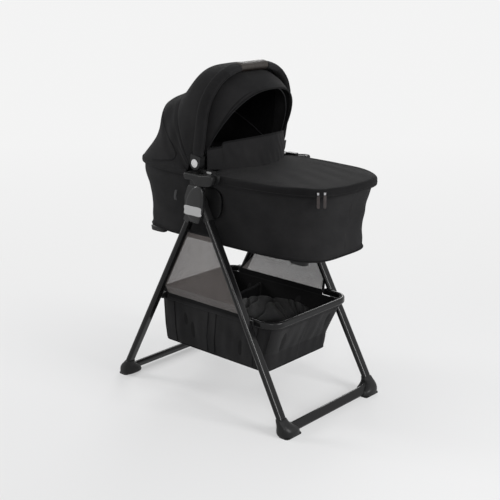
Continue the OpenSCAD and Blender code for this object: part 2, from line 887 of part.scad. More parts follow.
// The flap at a share of its height: a bow across the tub, which stands lower at its ends
function flap_row(k, inset) = [
    for (s = [-1 : 0.0625 : 1])
        [flap_x + (flap_reach - inset) * (1 - s * s), (flap_half - inset) * s,
         flap_low + k * (flap_tall - flap_drop * s * s)]
];

module wind_flap() {
    color(fabric_black)
        sheet([for (k = [0, 0.5, 1]) flap_row(k, 0)], [for (k = [0, 0.5, 1]) flap_row(k, flap_thick)]);
}

// ---------- adapters and hood hinge ----------

adapter_in = tub_b + 0.6;
adapter_out = adapter_in + 11;
cap_in = arch_half - sleeve_thick / 2;
cap_out = arch_half + sleeve_thick / 2;
upright_out = cap_in - 0.6;
upright_thick = 5;
upright_r = 18;
tab_x = hub_x + 39;
tab_z = rim_z + 11;
tab_wide = 20;
tab_tall = 7;
housing_in = tub_b - 17;
housing_out = tub_b - 2;
housing_half = tab_wide / 2 + 5;

// Side adapter: wing on the tub's rim, upright to the hood's hinge, tongue into the hub's socket
module adapter(side) {
    color(plastic_black) on_side(side) difference() {
        union() {
            // wing along the rim
            on_wall(adapter_in, adapter_out - adapter_in)
                hull() {
                    translate([hub_x - 23.8, rim_z - 9]) circle(r = 6, $fn = 32);
                    translate([hub_x + 82.2, rim_z + 3]) circle(r = 6, $fn = 32);
                    translate([hub_x + 85.2, rim_z - 9]) circle(r = 6, $fn = 32);
                    translate([hub_x - 18.8, rim_z - 26]) circle(r = 6, $fn = 32);
                }
            // housing of the release tab, and the shelf that carries it over the rim
            translate([tab_x - housing_half - 10, housing_in, rim_z + 1])
                cube([2 * housing_half + 10, housing_out - housing_in, 15]);
            translate([tab_x - housing_half - 10, housing_out - 4, rim_z + 1])
                cube([2 * housing_half + 10, adapter_out - housing_out, 4]);
            // block and tongue that drop into the hub
            translate([hub_x - tongue_wide / 2, adapter_out - 4, pivot_z + cover_up + 1.5])
                cube([tongue_wide, tongue_y + tongue_thick / 2 - adapter_out + 4, 22]);
            translate([hub_x - tongue_wide / 2, tongue_y - tongue_thick / 2, pivot_z + cover_up - tongue_depth + 2])
                cube([tongue_wide, tongue_thick, tongue_depth + 4]);
            // bridge over the rim
            translate([hinge_x - upright_r, upright_out - upright_thick, rim_z + 1])
                cube([2 * upright_r, adapter_out - upright_out + upright_thick - 3, 6]);
            translate([hinge_x - 6, adapter_in, rim_z - 14])
                cube([upright_r + 6, adapter_out - adapter_in - 3, 18]);
            // upright to the hinge
            on_wall(upright_out - upright_thick, upright_thick)
                hull() {
                    translate([hinge_x, hinge_z]) circle(r = upright_r);
                    translate([hinge_x, rim_z + 4]) square([2 * upright_r, 6], center = true);
                }
        }
        // seat of the hinge pin
        on_wall(upright_out - upright_thick - 1, upright_thick + 2)
            translate([hinge_x, hinge_z]) circle(r = hood_pin_r);
        // well of the release tab
        on_wall(housing_out - 7, 8)
            translate([tab_x, tab_z]) flat_oval(tab_wide + 2 * button_gap, tab_tall + 2 * button_gap);
    }
}

module adapter_near() { adapter(near); }
module adapter_far() { adapter(far); }

eye_thick = 2.6;
visor_eye_in = upright_out - upright_thick - 1.2 - eye_thick;
bow_eye_in = visor_eye_in - 2.3 - eye_thick;
pin_out = cap_in + 14;

// Hinge pins of the hood, one each side
module hood_pins() {
    color("#8a8c90")
        for (side = [near, far])
            on_side(side)
                translate([hinge_x, 0, hinge_z]) {
                    on_wall(bow_eye_in - 0.6, pin_out - bow_eye_in + 0.6) circle(r = hood_pin_r);
                    on_wall(bow_eye_in - 2.6, 2) circle(r = hood_pin_r + 2.5);
                }
}

// Pale rings round the hood buttons, on the handle's end caps
module button_rings() {
    color(plate_white)
        for (side = [near, far])
            on_side(side)
                translate([hinge_x, 0, hinge_z])
                    on_wall(cap_out, 1.6)
                        difference() {
                            circle(r = button_r + 4.5);
                            circle(r = button_r + button_gap);
                        }
}

module hood_button(side) {
    color(plate_white)
        on_side(side)
            translate([hinge_x, 0, hinge_z])
                on_wall(cap_out - button_well + button_travel + 0.3, button_well - button_travel + 0.9)
                    circle(r = button_r);
}

button_well = 5;

module hood_button_near() { hood_button(near); }
module hood_button_far() { hood_button(far); }

// Press tab that frees the tub from the stand
module release_tab(side) {
    color(plate_white)
        on_side(side)
            on_wall(housing_out - 7 + button_travel + 0.3, 7.7 - button_travel)
                translate([tab_x, tab_z]) flat_oval(tab_wide, tab_tall);
}

module release_tab_near() { release_tab(near); }
module release_tab_far() { release_tab(far); }

// ---------- handle arch ----------

// The arch's own axes: z out from the hinge to the crown, x forward
module in_arch(angle = arch_angle) {
    translate([hinge_x, 0, hinge_z])
        rotate([0, 90 - angle, 0])
            children();
}

module arch_arm(low, high) {
    translate([0, arch_half, low]) linear_extrude(height = high - low) children();
}

// Part of the arch's bend, from the arm's end through an angle
module arch_corner(from, through) {
    translate([0, arch_half - arch_bend, arch_r - arch_bend])
        rotate([90, 0, 90])
            rotate(from)
                rotate_extrude(angle = through)
                    translate([arch_bend, 0])
                        children();
}

module arch_top() {
    translate([0, -(arch_half - arch_bend), arch_r])
        rotate([-90, 0, 0])
            linear_extrude(height = 2 * (arch_half - arch_bend))
                children();
}

arm_start = sleeve_wide / 2 + 4;

module handle_tube() {
    color("#8a8c90") in_arch() arch_rod();
}

// The inner tube's solid
module arch_rod() {
    for (side = [near, far])
        on_side(side) {
            arch_arm(arm_start - 12, arch_r - arch_bend) circle(r = handle_tube_r);
            arch_corner(0, 90) circle(r = handle_tube_r);
        }
    arch_top() circle(r = handle_tube_r);
}

module sleeve_outline(wide, thick, turned) {
    difference() {
        rotate(turned) oval(wide, thick);
        circle(r = handle_tube_r);
    }
}

// Padded fabric sleeve on the arms and bends
module handle_sleeve() {
    color(fabric_black) in_arch()
        for (side = [near, far])
            on_side(side) {
                arch_arm(arm_start, arch_r - arch_bend) sleeve_outline(sleeve_wide, sleeve_thick, 90);
                arch_corner(0, 90 - grip_turn) sleeve_outline(sleeve_wide, sleeve_thick, 0);
            }
}

// Stations along the grip, each a side of the arch and a turn round its bend
grip_stations = [[near, grip_turn], [near, grip_turn / 2], [near, 0], [far, 0], [far, grip_turn / 2], [far, grip_turn]];

// The grip's flat-oval outline at a station
function grip_ring(station) = [
    for (i = [0 : 31])
        let (a = -360 * (i + 0.5) / 32, reach = arch_bend + grip_thick / 2 * sin(a))
            [(cos(a) > 0 ? 1 : -1) * (grip_wide - grip_thick) / 2 + grip_thick / 2 * cos(a),
             station[0] * (arch_half - arch_bend + reach * sin(station[1])),
             arch_r - arch_bend + reach * cos(station[1])]
];

// Leather grip round the top of the arch
module grip() {
    color(leather_brown) in_arch()
        difference() {
            loft([for (station = grip_stations) grip_ring(station)]);
            arch_rod();
        }
}

// End caps of the handle, turning on the hinge pins
module handle_ends() {
    color(plastic_black)
        for (side = [near, far])
            difference() {
                translate([hinge_x, 0, hinge_z]) on_side(side)
                    on_wall(cap_in, sleeve_thick)
                        hull() {
                            circle(r = sleeve_wide / 2, $fn = 64);
                            rotate(arch_angle)
                                translate([arm_start - 1, 0]) square([2, sleeve_wide], center = true);
                        }
                translate([hinge_x, 0, hinge_z]) on_side(side) {
                    on_wall(cap_in - 5, pin_out - cap_in + 5.4) circle(r = hood_pin_r + hood_pin_clear);
                    on_wall(cap_out - button_well, button_well + 5) circle(r = button_r + button_gap);
                }
                in_arch() on_side(side)
                    translate([0, arch_half, arm_start - 12]) linear_extrude(height = 20) circle(r = handle_tube_r);
            }
}

// ---------- canopy ----------

function from_hinge(angle, reach) = [hinge_x, hinge_z] + reach * [cos(angle), sin(angle)];

// Point of a smooth curve, a share of the way from the second of four points to the third
function curve(a, b, c, d, t) =
    0.5 * (2 * b + t * (c - a) + t * t * (2 * a - 5 * b + 4 * c - d) + t * t * t * (3 * b - a - 3 * c + d));

bow_drop = 3;
bow_angle = arch_angle + bow_back;
fold_angle = arch_angle + fold_back;
sleeve_back = sleeve_wide / 2 + 1;
rim_back = tub_x - tub_a - canopy_over;
canopy_foot = hinge_x - sleeve_wide / 2 - 2;

// Crown of the canopy along the middle: swell, fold, bow, hollow and flare, down to the rim
crown_keys = [
    from_hinge(arch_angle, arch_r - 5) + sleeve_back * [-sin(arch_angle), cos(arch_angle)],
    from_hinge(arch_angle + fold_back / 2, arch_r - 7),
    from_hinge(fold_angle, arch_r - fold_deep),
    from_hinge(fold_angle + 9, arch_r - fold_deep + 9),
    from_hinge(bow_angle, arch_r - bow_drop),
    from_hinge(bow_angle + 14, arch_r - bow_drop - 9),
    from_hinge(bow_angle + 26, arch_r - bow_drop + 11),
    [rim_back, rim_z + 3]
];
crown_last = len(crown_keys) - 1;
crown_line = [
    for (i = [0 : crown_last - 1], t = [0, 0.5])
        curve(crown_keys[max(i - 1, 0)], crown_keys[i], crown_keys[i + 1], crown_keys[min(i + 2, crown_last)], t),
    crown_keys[crown_last],
    [rim_back, rim_z - 6]
];
canopy_rows = len(crown_line);

// Share of the way from the handle to the rim that the canopy's sides have spread at a row
function spread(i) = min(1, i / (0.6 * canopy_rows));
function canopy_base(i) = [
    canopy_foot - 9 * spread(i),
    i == canopy_rows - 1 ? rim_z - 6 : (hinge_z + 4) * (1 - spread(i)) + (rim_z + 3) * spread(i)
];

// The rim's unit shape behind the canopy's base, so that the last rows follow the rim
function rim_unit(share) =
    let (lead = (tub_x - canopy_foot + 9) / (tub_a + canopy_over),
         stop = atan2(pow(1 - pow(lead, rim_n), 1 / rim_n), lead),
         p = super(stop * share, rim_n))
        [(p[0] - lead) / (1 - lead), p[1]];

function canopy_row(i, inset) =
    let (base = canopy_base(i), out = crown_line[i] - base, crown = out * (1 - inset / norm(out)),
         half = (arch_half - 2.5) * (1 - spread(i)) + (tub_b + canopy_over) * spread(i) - inset,
         n = 3 - 0.5 * i / canopy_rows, along_rim = max(0, min(1, (i - canopy_rows + 6) / 4)))
        [for (s = [-1 : 0.0625 : 1])
            let (p = (1 - along_rim) * super(89 * s, n) + along_rim * rim_unit(s))
                [base[0] + crown[0] * p[0], half * p[1], base[1] + crown[1] * p[0]]];

module canopy() {
    rows = [0 : canopy_rows - 1];
    color(fabric_black)
        sheet([for (i = rows) canopy_row(i, 0)], [for (i = rows) canopy_row(i, canopy_thick)]);
}

bow_blade = 36;

// Wire arch of a bow, plugged into its end brackets
module bow_wire(angle, reach, n, eye_in) {
    arch_wire([hinge_x, hinge_z], from_hinge(angle, reach), eye_in + eye_thick / 2, n, bow_r, 90 - atan(bow_blade / reach));
}

// End brackets of a bow: a flat eye on each hinge pin
module bow_ends(angle, eye_in) {
    for (side = [near, far])
        on_side(side)
            difference() {
                hull() {
                    translate([hinge_x, 0, hinge_z])
                        on_wall(eye_in, eye_thick) circle(r = hood_pin_r + 5);
                    in_arch(angle)
                        translate([0, eye_in + eye_thick / 2, bow_blade - 2.2])
                            cube([2 * bow_r, eye_thick, 4], center = true);
                }
                translate([hinge_x, 0, hinge_z])
                    on_wall(eye_in - 5, eye_thick + 10) circle(r = hood_pin_r + hood_pin_clear);
            }
}

module canopy_bow() {
    color("#2c2d30")
        bow_wire(bow_angle, arch_r - bow_drop - canopy_thick - bow_r - 1.5, 2.7, bow_eye_in);
}

module canopy_bow_ends() {
    color(plastic_black) bow_ends(bow_angle, bow_eye_in);
}

// ---------- visor ----------

visor_r = arch_r - visor_drop;
visor_half = flap_half - flap_thick - 1.2;
visor_bow_angle = visor_front + 4;

// One arch of the visor: k runs from 0 at its rear edge to 1 at its front edge
function visor_crown(k) = from_hinge(visor_back + k * (visor_front - visor_back), visor_r - visor_dip * k);
function visor_n(k) = 2.9 - 0.5 * k;

// Angle from the crown to the visor's ends, short of the hood pins
visor_sweep = 80;

module visor() {
    steps = [0, 0.25, 0.5, 0.75, 1];
    hinge = [hinge_x, hinge_z];
    color(fabric_black)
        sheet(
            [for (k = steps) arch_row(hinge, visor_crown(k), visor_half, visor_n(k), visor_sweep)],
            [for (k = steps) arch_inset(hinge, visor_crown(k), visor_half, visor_n(k), visor_thick, visor_sweep)]
        );
}

module visor_bow() {
    color("#2c2d30")
        bow_wire(visor_bow_angle, visor_r - visor_dip - visor_thick - bow_r - 1.5, 2.1, visor_eye_in);
}

module visor_bow_ends() {
    color(plastic_black) bow_ends(visor_bow_angle, visor_eye_in);
}

// ---------- zip pulls ----------

// A leather strip hanging from the apron's zip, swung out from the corner by its angle
module zip_pull(turn) {
    reach_a = tub_a + apron_gap + apron_thick;
    reach_b = tub_b + apron_gap + apron_thick;
    spot = super(-turn, rim_n);
    px = tub_x + reach_a * spot[0];
    py = reach_b * spot[1];
    face = atan2(-pow(-spot[1], rim_n - 1) / reach_b, pow(spot[0], rim_n - 1) / reach_a);
    translate([px, py, rim_z - 4])
        rotate([0, 0, face])
            translate([0.6, 0, 0]) {
                color("#6c6e72") {
                    translate([0, -3, -9]) cube([2.4, 6, 9]);
                    translate([1.2, 3, 0]) rotate([90, 0, 0]) cylinder(r = 1.6, h = 6, $fn = 24);
                }
                color(leather_brown)
                    translate([0, 0, -9 - pull_length])
                        rotate([90, 0, 90])
                            linear_extrude(height = 2.4)
                                union() {
                                    translate([-4.5, 4.5]) square([9, pull_length - 4.5]);
                                    translate([0, 4.5]) circle(r = 4.5);
                                }
            }
}

pull_turn_a = 36.7;
pull_turn_b = 33;
module zip_pull_a() { zip_pull(pull_turn_a); }
module zip_pull_b() { zip_pull(pull_turn_b); }

head_legs();
head_floor_bar();
head_foot_near();
head_foot_far();
head_foot_pads();
outer_hub_near();
outer_hub_far();
fold_bolt_near();
fold_bolt_far();
hub_plates();
head_basket_ring();
head_ring_brackets();
basket();
basket_board();
mesh_panel_near();
mesh_panel_far();
toe_legs();
toe_floor_bar();
toe_foot_near();
toe_foot_far();
toe_foot_pads();
inner_hub_near();
inner_hub_far();
toe_basket_ring();
toe_ring_brackets();
tub_shell();
tub_lining();
tub_floor();
rim_frame();
mattress();
tub_glides();
apron();
wind_flap();
adapter_near();
adapter_far();
hood_pins();
button_rings();
canopy();
canopy_bow();
canopy_bow_ends();
handle_tube();
handle_sleeve();
grip();
handle_ends();
visor();
visor_bow();
visor_bow_ends();
hood_button_near();
hood_button_far();
release_tab_near();
release_tab_far();
zip_pull_a();
zip_pull_b();
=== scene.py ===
import bmesh, bpy, math
import numpy as np
from mathutils import Matrix, Vector


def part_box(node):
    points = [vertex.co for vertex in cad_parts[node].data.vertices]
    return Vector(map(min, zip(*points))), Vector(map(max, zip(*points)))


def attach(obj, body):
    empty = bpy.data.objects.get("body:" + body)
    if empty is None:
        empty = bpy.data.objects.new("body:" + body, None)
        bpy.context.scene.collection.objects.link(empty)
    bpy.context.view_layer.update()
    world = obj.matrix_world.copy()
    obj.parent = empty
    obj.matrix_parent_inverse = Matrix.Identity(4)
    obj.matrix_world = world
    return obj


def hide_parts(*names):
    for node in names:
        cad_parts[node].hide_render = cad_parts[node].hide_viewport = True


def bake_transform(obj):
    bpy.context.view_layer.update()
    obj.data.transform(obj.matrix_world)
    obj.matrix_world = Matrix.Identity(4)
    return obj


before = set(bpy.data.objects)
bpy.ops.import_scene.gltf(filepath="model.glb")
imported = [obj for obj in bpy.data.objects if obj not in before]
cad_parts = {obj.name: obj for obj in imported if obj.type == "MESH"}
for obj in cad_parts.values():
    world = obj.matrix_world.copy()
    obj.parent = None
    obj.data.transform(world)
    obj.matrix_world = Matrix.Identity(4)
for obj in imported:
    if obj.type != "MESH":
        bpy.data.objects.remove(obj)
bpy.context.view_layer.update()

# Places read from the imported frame, in metres
def middle(node, axis):
    low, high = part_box(node)
    return (low[axis] + high[axis]) / 2

hingeX, hingeZ = middle("hood_pins", 0), middle("hood_pins", 2)
hubX, hubZ = middle("fold_bolt_near", 0), middle("fold_bolt_near", 2)
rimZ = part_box("tub_shell")[1][2]
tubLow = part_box("tub_shell")[0][2]
tubX = middle("tub_shell", 0)
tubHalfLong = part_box("tub_shell")[1][0] - tubX
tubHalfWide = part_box("tub_shell")[1][1]
handleTubeR = 0.007
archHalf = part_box("handle_tube")[1][1] - handleTubeR
print("frame read, rim at", round(rimZ, 3))

# Unit superellipse: cos and sin of the angle, divided by the n-norm of the two
def superUnit(angle, n):
    c, s = np.cos(angle), np.sin(angle)
    size = (np.abs(c) ** n + np.abs(s) ** n) ** (1 / n)
    return c / size, s / size

# Catmull-Rom: a cubic through the keys, its slope at each key half the step between its neighbours
def smoothThrough(keys, at):
    keys = np.asarray(keys, float)
    last = len(keys) - 1
    span = np.clip(np.floor(at).astype(int), 0, last - 1)
    t = (at - span)[:, None]
    a, b = keys[np.maximum(span - 1, 0)], keys[span]
    c, d = keys[span + 1], keys[np.minimum(span + 2, last)]
    return 0.5 * (2 * b + t * (c - a) + t * t * (2 * a - 5 * b + 4 * c - d) + t ** 3 * (3 * b - a - 3 * c + d))

# Smooth step from 0 at low to 1 at high
def eased(value, low, high):
    t = np.clip((value - low) / (high - low), 0, 1)
    return t * t * (3 - 2 * t)

# Bell of a value about a centre, 1 in the middle and near 0 one width away
def bell(value, centre, width):
    return np.exp(-((value - centre) / width) ** 2 * 2)

# Smooth ripples: a sum of a few slanted sine waves over two parameters, about -1 to 1
def ripples(u, v, seed, count=6, fine=1.0):
    rng = np.random.default_rng(seed)
    total = 0.0
    for k in range(count):
        fu, fv = rng.uniform(0.5, 2.6, 2) * fine
        total = total + np.sin(2 * np.pi * (fu * u + fv * v) + rng.uniform(0, 6.28)) * rng.uniform(0.4, 1)
    return total / count ** 0.5

# Outward direction of a grid: the cross product of its steps along rows and columns
def gridNormals(points, loopCols=False, flip=False):
    if loopCols:
        wide = np.concatenate([points[:, -1:], points, points[:, :1]], axis=1)
        du = (wide[:, 2:] - wide[:, :-2])
    else:
        du = np.gradient(points, axis=1)
    dv = np.gradient(points, axis=0)
    n = np.cross(du, dv)
    n /= np.maximum(np.linalg.norm(n, axis=2, keepdims=True), 1e-9)
    return -n if flip else n

# Mesh from a grid of points (rows, columns, 3), with its UV map in metres along the cloth
def gridPiece(name, points, finish, loopCols=False, flip=False, wall=0.0, capped=False):
    points = np.asarray(points, float)
    rows, cols = points.shape[:2]
    r = np.arange(rows - 1)[:, None]
    c = np.arange(cols if loopCols else cols - 1)[None, :]
    after = (c + 1) % cols
    quads = np.stack([r * cols + c, r * cols + after, (r + 1) * cols + after, (r + 1) * cols + c],
                     axis=2).reshape(-1, 4)
    if flip:
        quads = quads[:, ::-1]
    faces = quads.tolist()
    if capped:
        first, final = list(range(cols)), list(range((rows - 1) * cols, rows * cols))
        faces += [first, final[::-1]] if flip else [first[::-1], final]
    mesh = bpy.data.meshes.new(name)
    mesh.from_pydata(points.reshape(-1, 3).tolist(), [], faces)
    u = np.concatenate([np.zeros((rows, 1)),
                        np.cumsum(np.linalg.norm(np.diff(points, axis=1), axis=2), axis=1)], axis=1)
    v = np.concatenate([np.zeros((1, cols)),
                        np.cumsum(np.linalg.norm(np.diff(points, axis=0), axis=2), axis=0)], axis=0)
    u = np.repeat(u.mean(axis=0, keepdims=True), rows, axis=0)
    v = np.repeat(v.mean(axis=1, keepdims=True), cols, axis=1)
    layer = mesh.uv_layers.new(name="cloth")
    loops = np.zeros(len(mesh.loops), int)
    mesh.loops.foreach_get("vertex_index", loops)
    layer.data.foreach_set("uv", np.stack([u.reshape(-1)[loops], v.reshape(-1)[loops]], axis=1).reshape(-1))
    mesh.polygons.foreach_set("use_smooth", [True] * len(mesh.polygons))
    mesh.materials.append(finish)
    piece = bpy.data.objects.new(name, mesh)
    bpy.context.scene.collection.objects.link(piece)
    if wall:
        shell = piece.modifiers.new("wall", "SOLIDIFY")
        shell.thickness, shell.offset = wall, -1
    return piece

# What a sheet on a grid of points was cut to: its longest row, its longest column, and the sum of its quads'
# areas, each half the cross product of the quad's diagonals
def cutSize(points, loopCols=False):
    wide = np.concatenate([points, points[:, :1]], axis=1) if loopCols else points
    across = np.linalg.norm(np.diff(wide, axis=1), axis=2).sum(axis=1)
    along = np.linalg.norm(np.diff(wide, axis=0), axis=2).sum(axis=0)
    first, second = wide[1:, 1:] - wide[:-1, :-1], wide[1:, :-1] - wide[:-1, 1:]
    area = np.linalg.norm(np.cross(first, second), axis=2).sum() / 2
    return across.max(), along.max(), area

# Prints a sheet's size, by what its grid was cut to
def asSheet(piece, points, loopCols=False, extraArea=0.0):
    width, length, area = cutSize(points, loopCols)
    area += extraArea
    print("sheet", piece.name, round(width, 3), "x", round(length, 3), "area", round(area, 4))

# Frames along a path: its direction, and a side direction kept square to it
def pathFrames(path, side, closed=False):
    ahead = np.roll(path, -1, axis=0) - np.roll(path, 1, axis=0)
    if not closed:
        ahead[0], ahead[-1] = path[1] - path[0], path[-1] - path[-2]
    ahead /= np.linalg.norm(ahead, axis=1, keepdims=True)
    side = np.broadcast_to(np.asarray(side, float), path.shape).copy()
    side -= (side * ahead).sum(axis=1, keepdims=True) * ahead
    side /= np.maximum(np.linalg.norm(side, axis=1, keepdims=True), 1e-9)
    return ahead, side, np.cross(ahead, side)

# Outline carried along a path: every outline point is laid off along the frame's side and third direction
def carried(name, path, outline, finish, side=(0, 0, 1), closed=False, capped=True, swell=None):
    path, outline = np.asarray(path, float), np.asarray(outline, float)
    across, third = pathFrames(path, side, closed)[1:]
    grow = np.ones(len(path)) if swell is None else swell
    points = (path[:, None] + grow[:, None, None]
              * (outline[None, :, :1] * across[:, None] + outline[None, :, 1:] * third[:, None]))
    if closed:
        points = np.concatenate([points, points[:1]], axis=0)
    return gridPiece(name, points, finish, loopCols=True, flip=True, capped=capped and not closed)

# Circle of a radius, as an outline to carry along a path
def roundOutline(radius, count=10):
    a = np.arange(count) * 2 * np.pi / count
    return np.stack([radius * np.cos(a), radius * np.sin(a)], axis=1)

# Flat oval of a width and a thickness, its corners softened by a superellipse
def ovalOutline(wide, thick, n=2.6, count=40):
    p, q = superUnit(np.arange(count) * 2 * np.pi / count, n)
    return np.stack([p * wide / 2, q * thick / 2], axis=1)

# Row of stitches: short rounded dashes laid along a path
def stitches(name, path, finish, length=0.0042, gap=0.0028, radius=0.00045, side=(0, 0, 1)):
    path = np.asarray(path, float)
    run = np.concatenate([[0], np.cumsum(np.linalg.norm(np.diff(path, axis=0), axis=1))])
    starts = np.arange(gap, run[-1] - length, length + gap)
    along = np.array([0, 0.12, 0.5, 0.88, 1])
    thick = np.array([0.2, 0.9, 1, 0.9, 0.2])
    at = starts[:, None] + along[None] * length
    centre = np.stack([np.interp(at, run, path[:, k]) for k in range(3)], axis=2)
    ahead = centre[:, -1] - centre[:, 0]
    ahead /= np.linalg.norm(ahead, axis=1, keepdims=True)
    across = np.cross(ahead, np.broadcast_to(np.asarray(side, float), ahead.shape))
    across /= np.maximum(np.linalg.norm(across, axis=1, keepdims=True), 1e-9)
    third = np.cross(ahead, across)
    sides, rings = 6, len(along)
    turn = np.arange(sides) * 2 * np.pi / sides
    ring = np.cos(turn)[None, None, :, None] * across[:, None, None] + np.sin(turn)[None, None, :,
                                                                                    None] * third[:, None, None]
    points = centre[:, :, None] + radius * thick[None, :, None, None] * ring
    count = len(starts)
    begin = np.arange(count) * sides * rings
    base = begin[:, None, None] + (np.arange(rings - 1) * sides)[None, :, None]
    k = np.arange(sides)[None, None]
    after = (k + 1) % sides
    quads = np.stack([base + k, base + sides + k, base + sides + after, base + after], axis=3).reshape(-1, 4)
    # Each dash is closed by one face at its first ring and one at its last
    first = begin[:, None] + np.arange(sides)
    last = begin[:, None] + sides * (rings - 1) + np.arange(sides)[::-1]
    ends = np.stack([first, last], axis=1).reshape(-1, sides)
    mesh = bpy.data.meshes.new(name)
    mesh.from_pydata(points.reshape(-1, 3).tolist(), [], quads.tolist() + ends.tolist())
    mesh.polygons.foreach_set("use_smooth", [True] * len(mesh.polygons))
    mesh.materials.append(finish)
    piece = bpy.data.objects.new(name, mesh)
    bpy.context.scene.collection.objects.link(piece)
    return piece

# Several meshes as one piece, kept in the first one's name
def asOne(name, pieces):
    for piece in bpy.context.selected_objects:
        piece.select_set(False)
    for piece in pieces:
        piece.select_set(True)
    bpy.context.view_layer.objects.active = pieces[0]
    bpy.ops.object.join()
    pieces[0].name = name
    return pieces[0]

# Finishes, all built from procedural nodes
def newFinish(name):
    finish = bpy.data.materials.new(name)
    finish.use_nodes = True
    tree = finish.node_tree
    return finish, tree, tree.nodes["Principled BSDF"]

def linked(tree, kind, **values):
    node = tree.nodes.new(kind)
    for key, value in values.items():
        if key in node.inputs:
            node.inputs[key].default_value = value
        else:
            setattr(node, key, value)
    return node

def colourRamp(tree, source, stops):
    ramp = tree.nodes.new("ShaderNodeValToRGB")
    for k, (place, colour) in enumerate(stops):
        element = ramp.color_ramp.elements[k] if k < 2 else ramp.color_ramp.elements.new(place)
        element.position = place
        element.color = (*colour, 1)
    tree.links.new(source, ramp.inputs[0])
    return ramp

def bumped(tree, shader, height, depth, strength=1.0):
    bump = linked(tree, "ShaderNodeBump", Strength=strength, Distance=depth)
    tree.links.new(height, bump.inputs["Height"])
    tree.links.new(bump.outputs[0], shader.inputs["Normal"])

# Woven cloth: two sets of threads at right angles over the UV map, with loose fibres and slow tone changes
def clothFinish(name, dark, light, pitch=0.0011, relief=0.0003, rough=0.9, sheen=0.03, useUv=True):
    finish, tree, shader = newFinish(name)
    place = tree.nodes.new("ShaderNodeTexCoord")
    thread = place.outputs["UV" if useUv else "Object"]
    waves = []
    for direction in ("X", "Y"):
        wave = linked(tree, "ShaderNodeTexWave", bands_direction=direction, Scale=0.5 / pitch / 3.1416,
                      Distortion=0.6, Detail=1.0)
        tree.links.new(thread, wave.inputs["Vector"])
        waves.append(wave)
    weave = linked(tree, "ShaderNodeMath", operation="MULTIPLY")
    for k in (0, 1):
        tree.links.new(waves[k].outputs["Fac"], weave.inputs[k])
    fibre = linked(tree, "ShaderNodeTexNoise", Scale=420.0, Detail=3.0)
    slow = linked(tree, "ShaderNodeTexNoise", Scale=7.0, Detail=4.0, Roughness=0.6)
    for node in (fibre, slow):
        tree.links.new(place.outputs["Object"], node.inputs["Vector"])
    tone = linked(tree, "ShaderNodeMath", operation="MULTIPLY_ADD")
    tone.inputs[1].default_value = 0.35
    tree.links.new(fibre.outputs["Fac"], tone.inputs[0])
    tree.links.new(slow.outputs["Fac"], tone.inputs[2])
    blend = linked(tree, "ShaderNodeMath", operation="MULTIPLY_ADD")
    blend.inputs[1].default_value = 0.3
    tree.links.new(weave.outputs[0], blend.inputs[0])
    tree.links.new(tone.outputs[0], blend.inputs[2])
    ramp = colourRamp(tree, blend.outputs[0], [(0.45, dark), (1.0, light)])
    tree.links.new(ramp.outputs[0], shader.inputs["Base Color"])
    shader.inputs["Roughness"].default_value = rough
    shader.inputs["Specular IOR Level"].default_value = 0.06
    shader.inputs["Sheen Weight"].default_value = sheen
    shader.inputs["Sheen Roughness"].default_value = 0.45
    height = linked(tree, "ShaderNodeMath", operation="MULTIPLY_ADD")
    height.inputs[1].default_value = 0.6
    tree.links.new(fibre.outputs["Fac"], height.inputs[0])
    tree.links.new(weave.outputs[0], height.inputs[2])
    bumped(tree, shader, height.outputs[0], relief, 0.7)
    return finish

# Hard surface with a fine grain in its bump and a slow change in its gloss
def hardFinish(name, colour, rough, metal=0.0, grain=300.0, relief=0.0001, wear=0.06, stretch=(1, 1, 1),
               specular=0.5):
    finish, tree, shader = newFinish(name)
    place = tree.nodes.new("ShaderNodeTexCoord")
    turn = tree.nodes.new("ShaderNodeMapping")
    turn.inputs["Scale"].default_value = stretch
    tree.links.new(place.outputs["Object"], turn.inputs["Vector"])
    fine = linked(tree, "ShaderNodeTexNoise", Scale=grain, Detail=2.0)
    slow = linked(tree, "ShaderNodeTexNoise", Scale=11.0, Detail=5.0, Roughness=0.65)
    tree.links.new(turn.outputs[0], fine.inputs["Vector"])
    tree.links.new(place.outputs["Object"], slow.inputs["Vector"])
    lift = tuple(min(1, c * 1.25 + 0.002) for c in colour)
    ramp = colourRamp(tree, slow.outputs["Fac"], [(0.3, colour), (0.75, lift)])
    tree.links.new(ramp.outputs[0], shader.inputs["Base Color"])
    gloss = linked(tree, "ShaderNodeMapRange")
    gloss.inputs["To Min"].default_value = rough - wear
    gloss.inputs["To Max"].default_value = rough + wear
    tree.links.new(slow.outputs["Fac"], gloss.inputs["Value"])
    tree.links.new(gloss.outputs[0], shader.inputs["Roughness"])
    shader.inputs["Metallic"].default_value = metal
    shader.inputs["Specular IOR Level"].default_value = specular
    bumped(tree, shader, fine.outputs["Fac"], relief, 0.6)
    return finish
